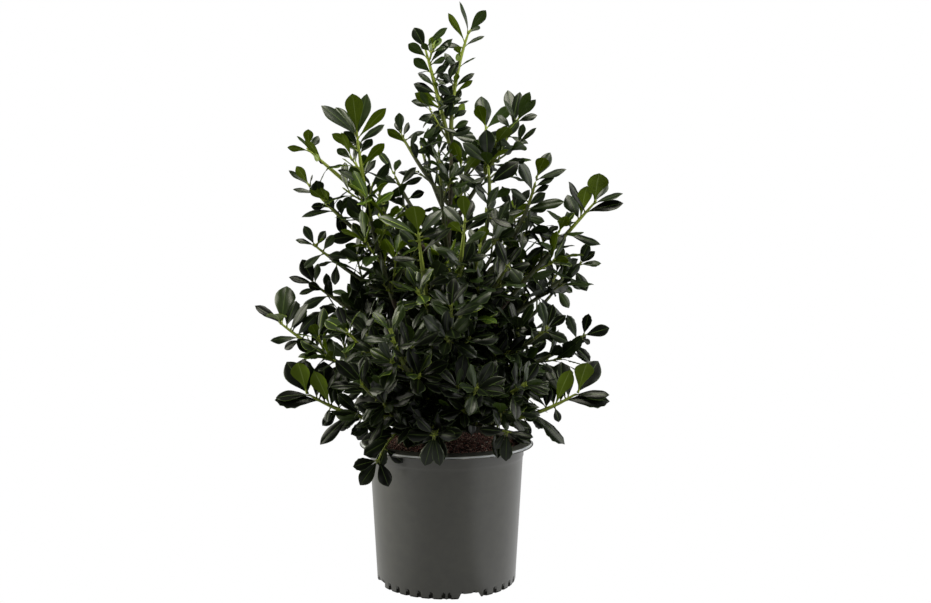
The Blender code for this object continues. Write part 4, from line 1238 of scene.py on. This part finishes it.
def build_soil():
    edge = wall_radius(SOIL_EDGE_HEIGHT) - WALL_THICKNESS - SOIL_CLEARANCE
    rng = random.Random(SEED)
    soil = Parts()
    points, faces = soil_bed(edge)
    soil.add(points, faces, np.zeros(len(faces)))
    for _ in range(SOIL_BITS):
        add_bit(soil, edge - 0.003, rng)
    materials = [
        noise_material("soil_dark", srgb(22, 14, 11), srgb(40, 27, 22), 0.95, 400, 0.4),
        noise_material("bit_brown", srgb(60, 40, 36), srgb(86, 60, 52), 0.85, 500, 0.3),
        noise_material("bit_red", srgb(92, 58, 54), srgb(122, 80, 72), 0.85, 500, 0.3),
        noise_material("bit_pale", srgb(134, 104, 94), srgb(164, 134, 122), 0.85, 500, 0.3),
        noise_material("speck_white", srgb(196, 190, 180), srgb(224, 220, 210), 0.7, 500),
    ]
    piece = soil.make("bark_mix", materials, ["soil"])
    for polygon in piece.data.polygons[len(faces):]:
        polygon.use_smooth = False


# Stage

IMAGE_WIDTH = 931
IMAGE_HEIGHT = 603
FOCAL_PIXELS = 1054.0
CAMERA_DISTANCE = 1.7059
CAMERA_HEIGHT = 0.5357
AXIS_COLUMN = 446.5
HORIZON_ROW = 246.0


def build_camera():
    data = bpy.data.cameras.new("camera")
    data.sensor_width = 36.0
    data.lens = 36.0 * FOCAL_PIXELS / IMAGE_WIDTH
    data.shift_x = (IMAGE_WIDTH / 2 - AXIS_COLUMN) / IMAGE_WIDTH
    data.shift_y = (HORIZON_ROW - IMAGE_HEIGHT / 2) / IMAGE_WIDTH
    camera = add_object("camera", data)
    camera.location = (0.0, -CAMERA_DISTANCE, CAMERA_HEIGHT)
    camera.rotation_euler = (math.radians(90), 0.0, 0.0)
    bpy.context.scene.camera = camera


FLOOR_HALF_WIDTH = 6.0
FLOOR_GAP = 0.0005
FLOOR_IN_GLOSS = 0.45
# On each side: degrees round from the front where the floor starts to brighten and where it is
# brightest, and the brightness it adds there to half that of the front.
FLOOR_SIDES = ((30, 44, 0.80), (-20, -60, 0.50))
WARM = (1.0, 0.98, 0.82)
COOL = (1.0, 1.0, 0.93)
LIGHT_TARGET = Vector((0.0, 0.0, 0.5))


def area_light(name, location, size, power, colour):
    data = bpy.data.lights.new(name, "AREA")
    data.shape = "RECTANGLE"
    data.size, data.size_y = size
    data.energy = power
    data.color = colour
    light = add_object(name, data)
    light.location = location
    aim = LIGHT_TARGET - Vector(location)
    light.rotation_euler = aim.to_track_quat("-Z", "Y").to_euler()


def build_lights():
    area_light("panel_right", (1.6, -0.25, 1.2), (1.4, 1.4), 22, COOL)
    area_light("panel_left", (-1.55, 0.25, 0.9), (1.6, 1.5), 35, WARM)
    area_light("top", (0.2, -0.5, 2.2), (0.8, 0.8), 27, WARM)


def build_world():
    """A dim warm sky that looks white to the camera."""
    world = bpy.data.worlds.new("studio")
    bpy.context.scene.world = world
    world.use_nodes = True
    tree = world.node_tree
    dim = tree.nodes["Background"]
    dim.inputs["Color"].default_value = (1.0, 1.0, 0.90, 1.0)
    dim.inputs["Strength"].default_value = 0.04
    white = add_node(tree, "Background", {"Color": (1.0, 1.0, 1.0, 1.0), "Strength": 1.0})
    seen = add_node(tree, "LightPath").outputs["Is Camera Ray"]
    mix = add_node(tree, "MixShader", {"Fac": seen, 1: dim.outputs[0], 2: white.outputs[0]})
    tree.links.new(mix.outputs[0], tree.nodes["World Output"].inputs["Surface"])


def floor_in_gloss(tree):
    """The floor's brightness in reflections, higher beside the pot than in front of it."""
    position = add_node(tree, "NewGeometry").outputs["Position"]
    split = add_node(tree, "SeparateXYZ", {0: position})
    front = add_node(tree, "Math", {0: split.outputs["Y"], 1: -1.0}, operation="MULTIPLY")
    turn = add_node(tree, "Math", {0: split.outputs["X"], 1: front.outputs[0]}, operation="ARCTAN2")
    total = add_node(tree, "Math", operation="ADD")
    for index, (start, end, level) in enumerate(FLOOR_SIDES):
        inputs = {
            "Value": turn.outputs[0],
            "From Min": math.radians(start),
            "From Max": math.radians(end),
            "To Min": FLOOR_IN_GLOSS / 2,
            "To Max": level,
        }
        ramp = add_node(tree, "MapRange", inputs, interpolation_type="SMOOTHSTEP")
        tree.links.new(ramp.outputs["Result"], total.inputs[index])
    return total.outputs[0]


def floor_material():
    """White to the camera, part white in reflections, and grey to all other light."""
    material = plain_material("floor_white", (0.25, 0.25, 0.25, 1.0), 0.9, specular=0.0)
    tree = material.node_tree
    path = add_node(tree, "LightPath")
    glossy, seen = path.outputs["Is Glossy Ray"], path.outputs["Is Camera Ray"]
    share = add_node(tree, "Math", {0: glossy, 1: floor_in_gloss(tree), 2: seen}, operation="MULTIPLY_ADD")
    grey = tree.nodes["Principled BSDF"].outputs[0]
    white = add_node(tree, "Emission").outputs[0]
    mix = add_node(tree, "MixShader", {"Fac": share.outputs[0], 1: grey, 2: white})
    tree.links.new(mix.outputs[0], tree.nodes["Material Output"].inputs["Surface"])
    return material


def build_floor():
    mesh = bpy.data.meshes.new("floor")
    square = bmesh.new()
    bmesh.ops.create_grid(square, x_segments=1, y_segments=1, size=FLOOR_HALF_WIDTH)
    square.to_mesh(mesh)
    square.free()
    mesh.materials.append(floor_material())
    floor = add_object("floor", mesh)
    floor.location.z = -FLOOR_GAP


def main():
    build_camera()
    build_lights()
    build_world()
    build_floor()
    build_pot()
    build_soil()
    build_trunk()
    build_boughs()
    for region in REGIONS:
        grow_region(region)
    bpy.context.scene.view_settings.view_transform = "Standard"


main()
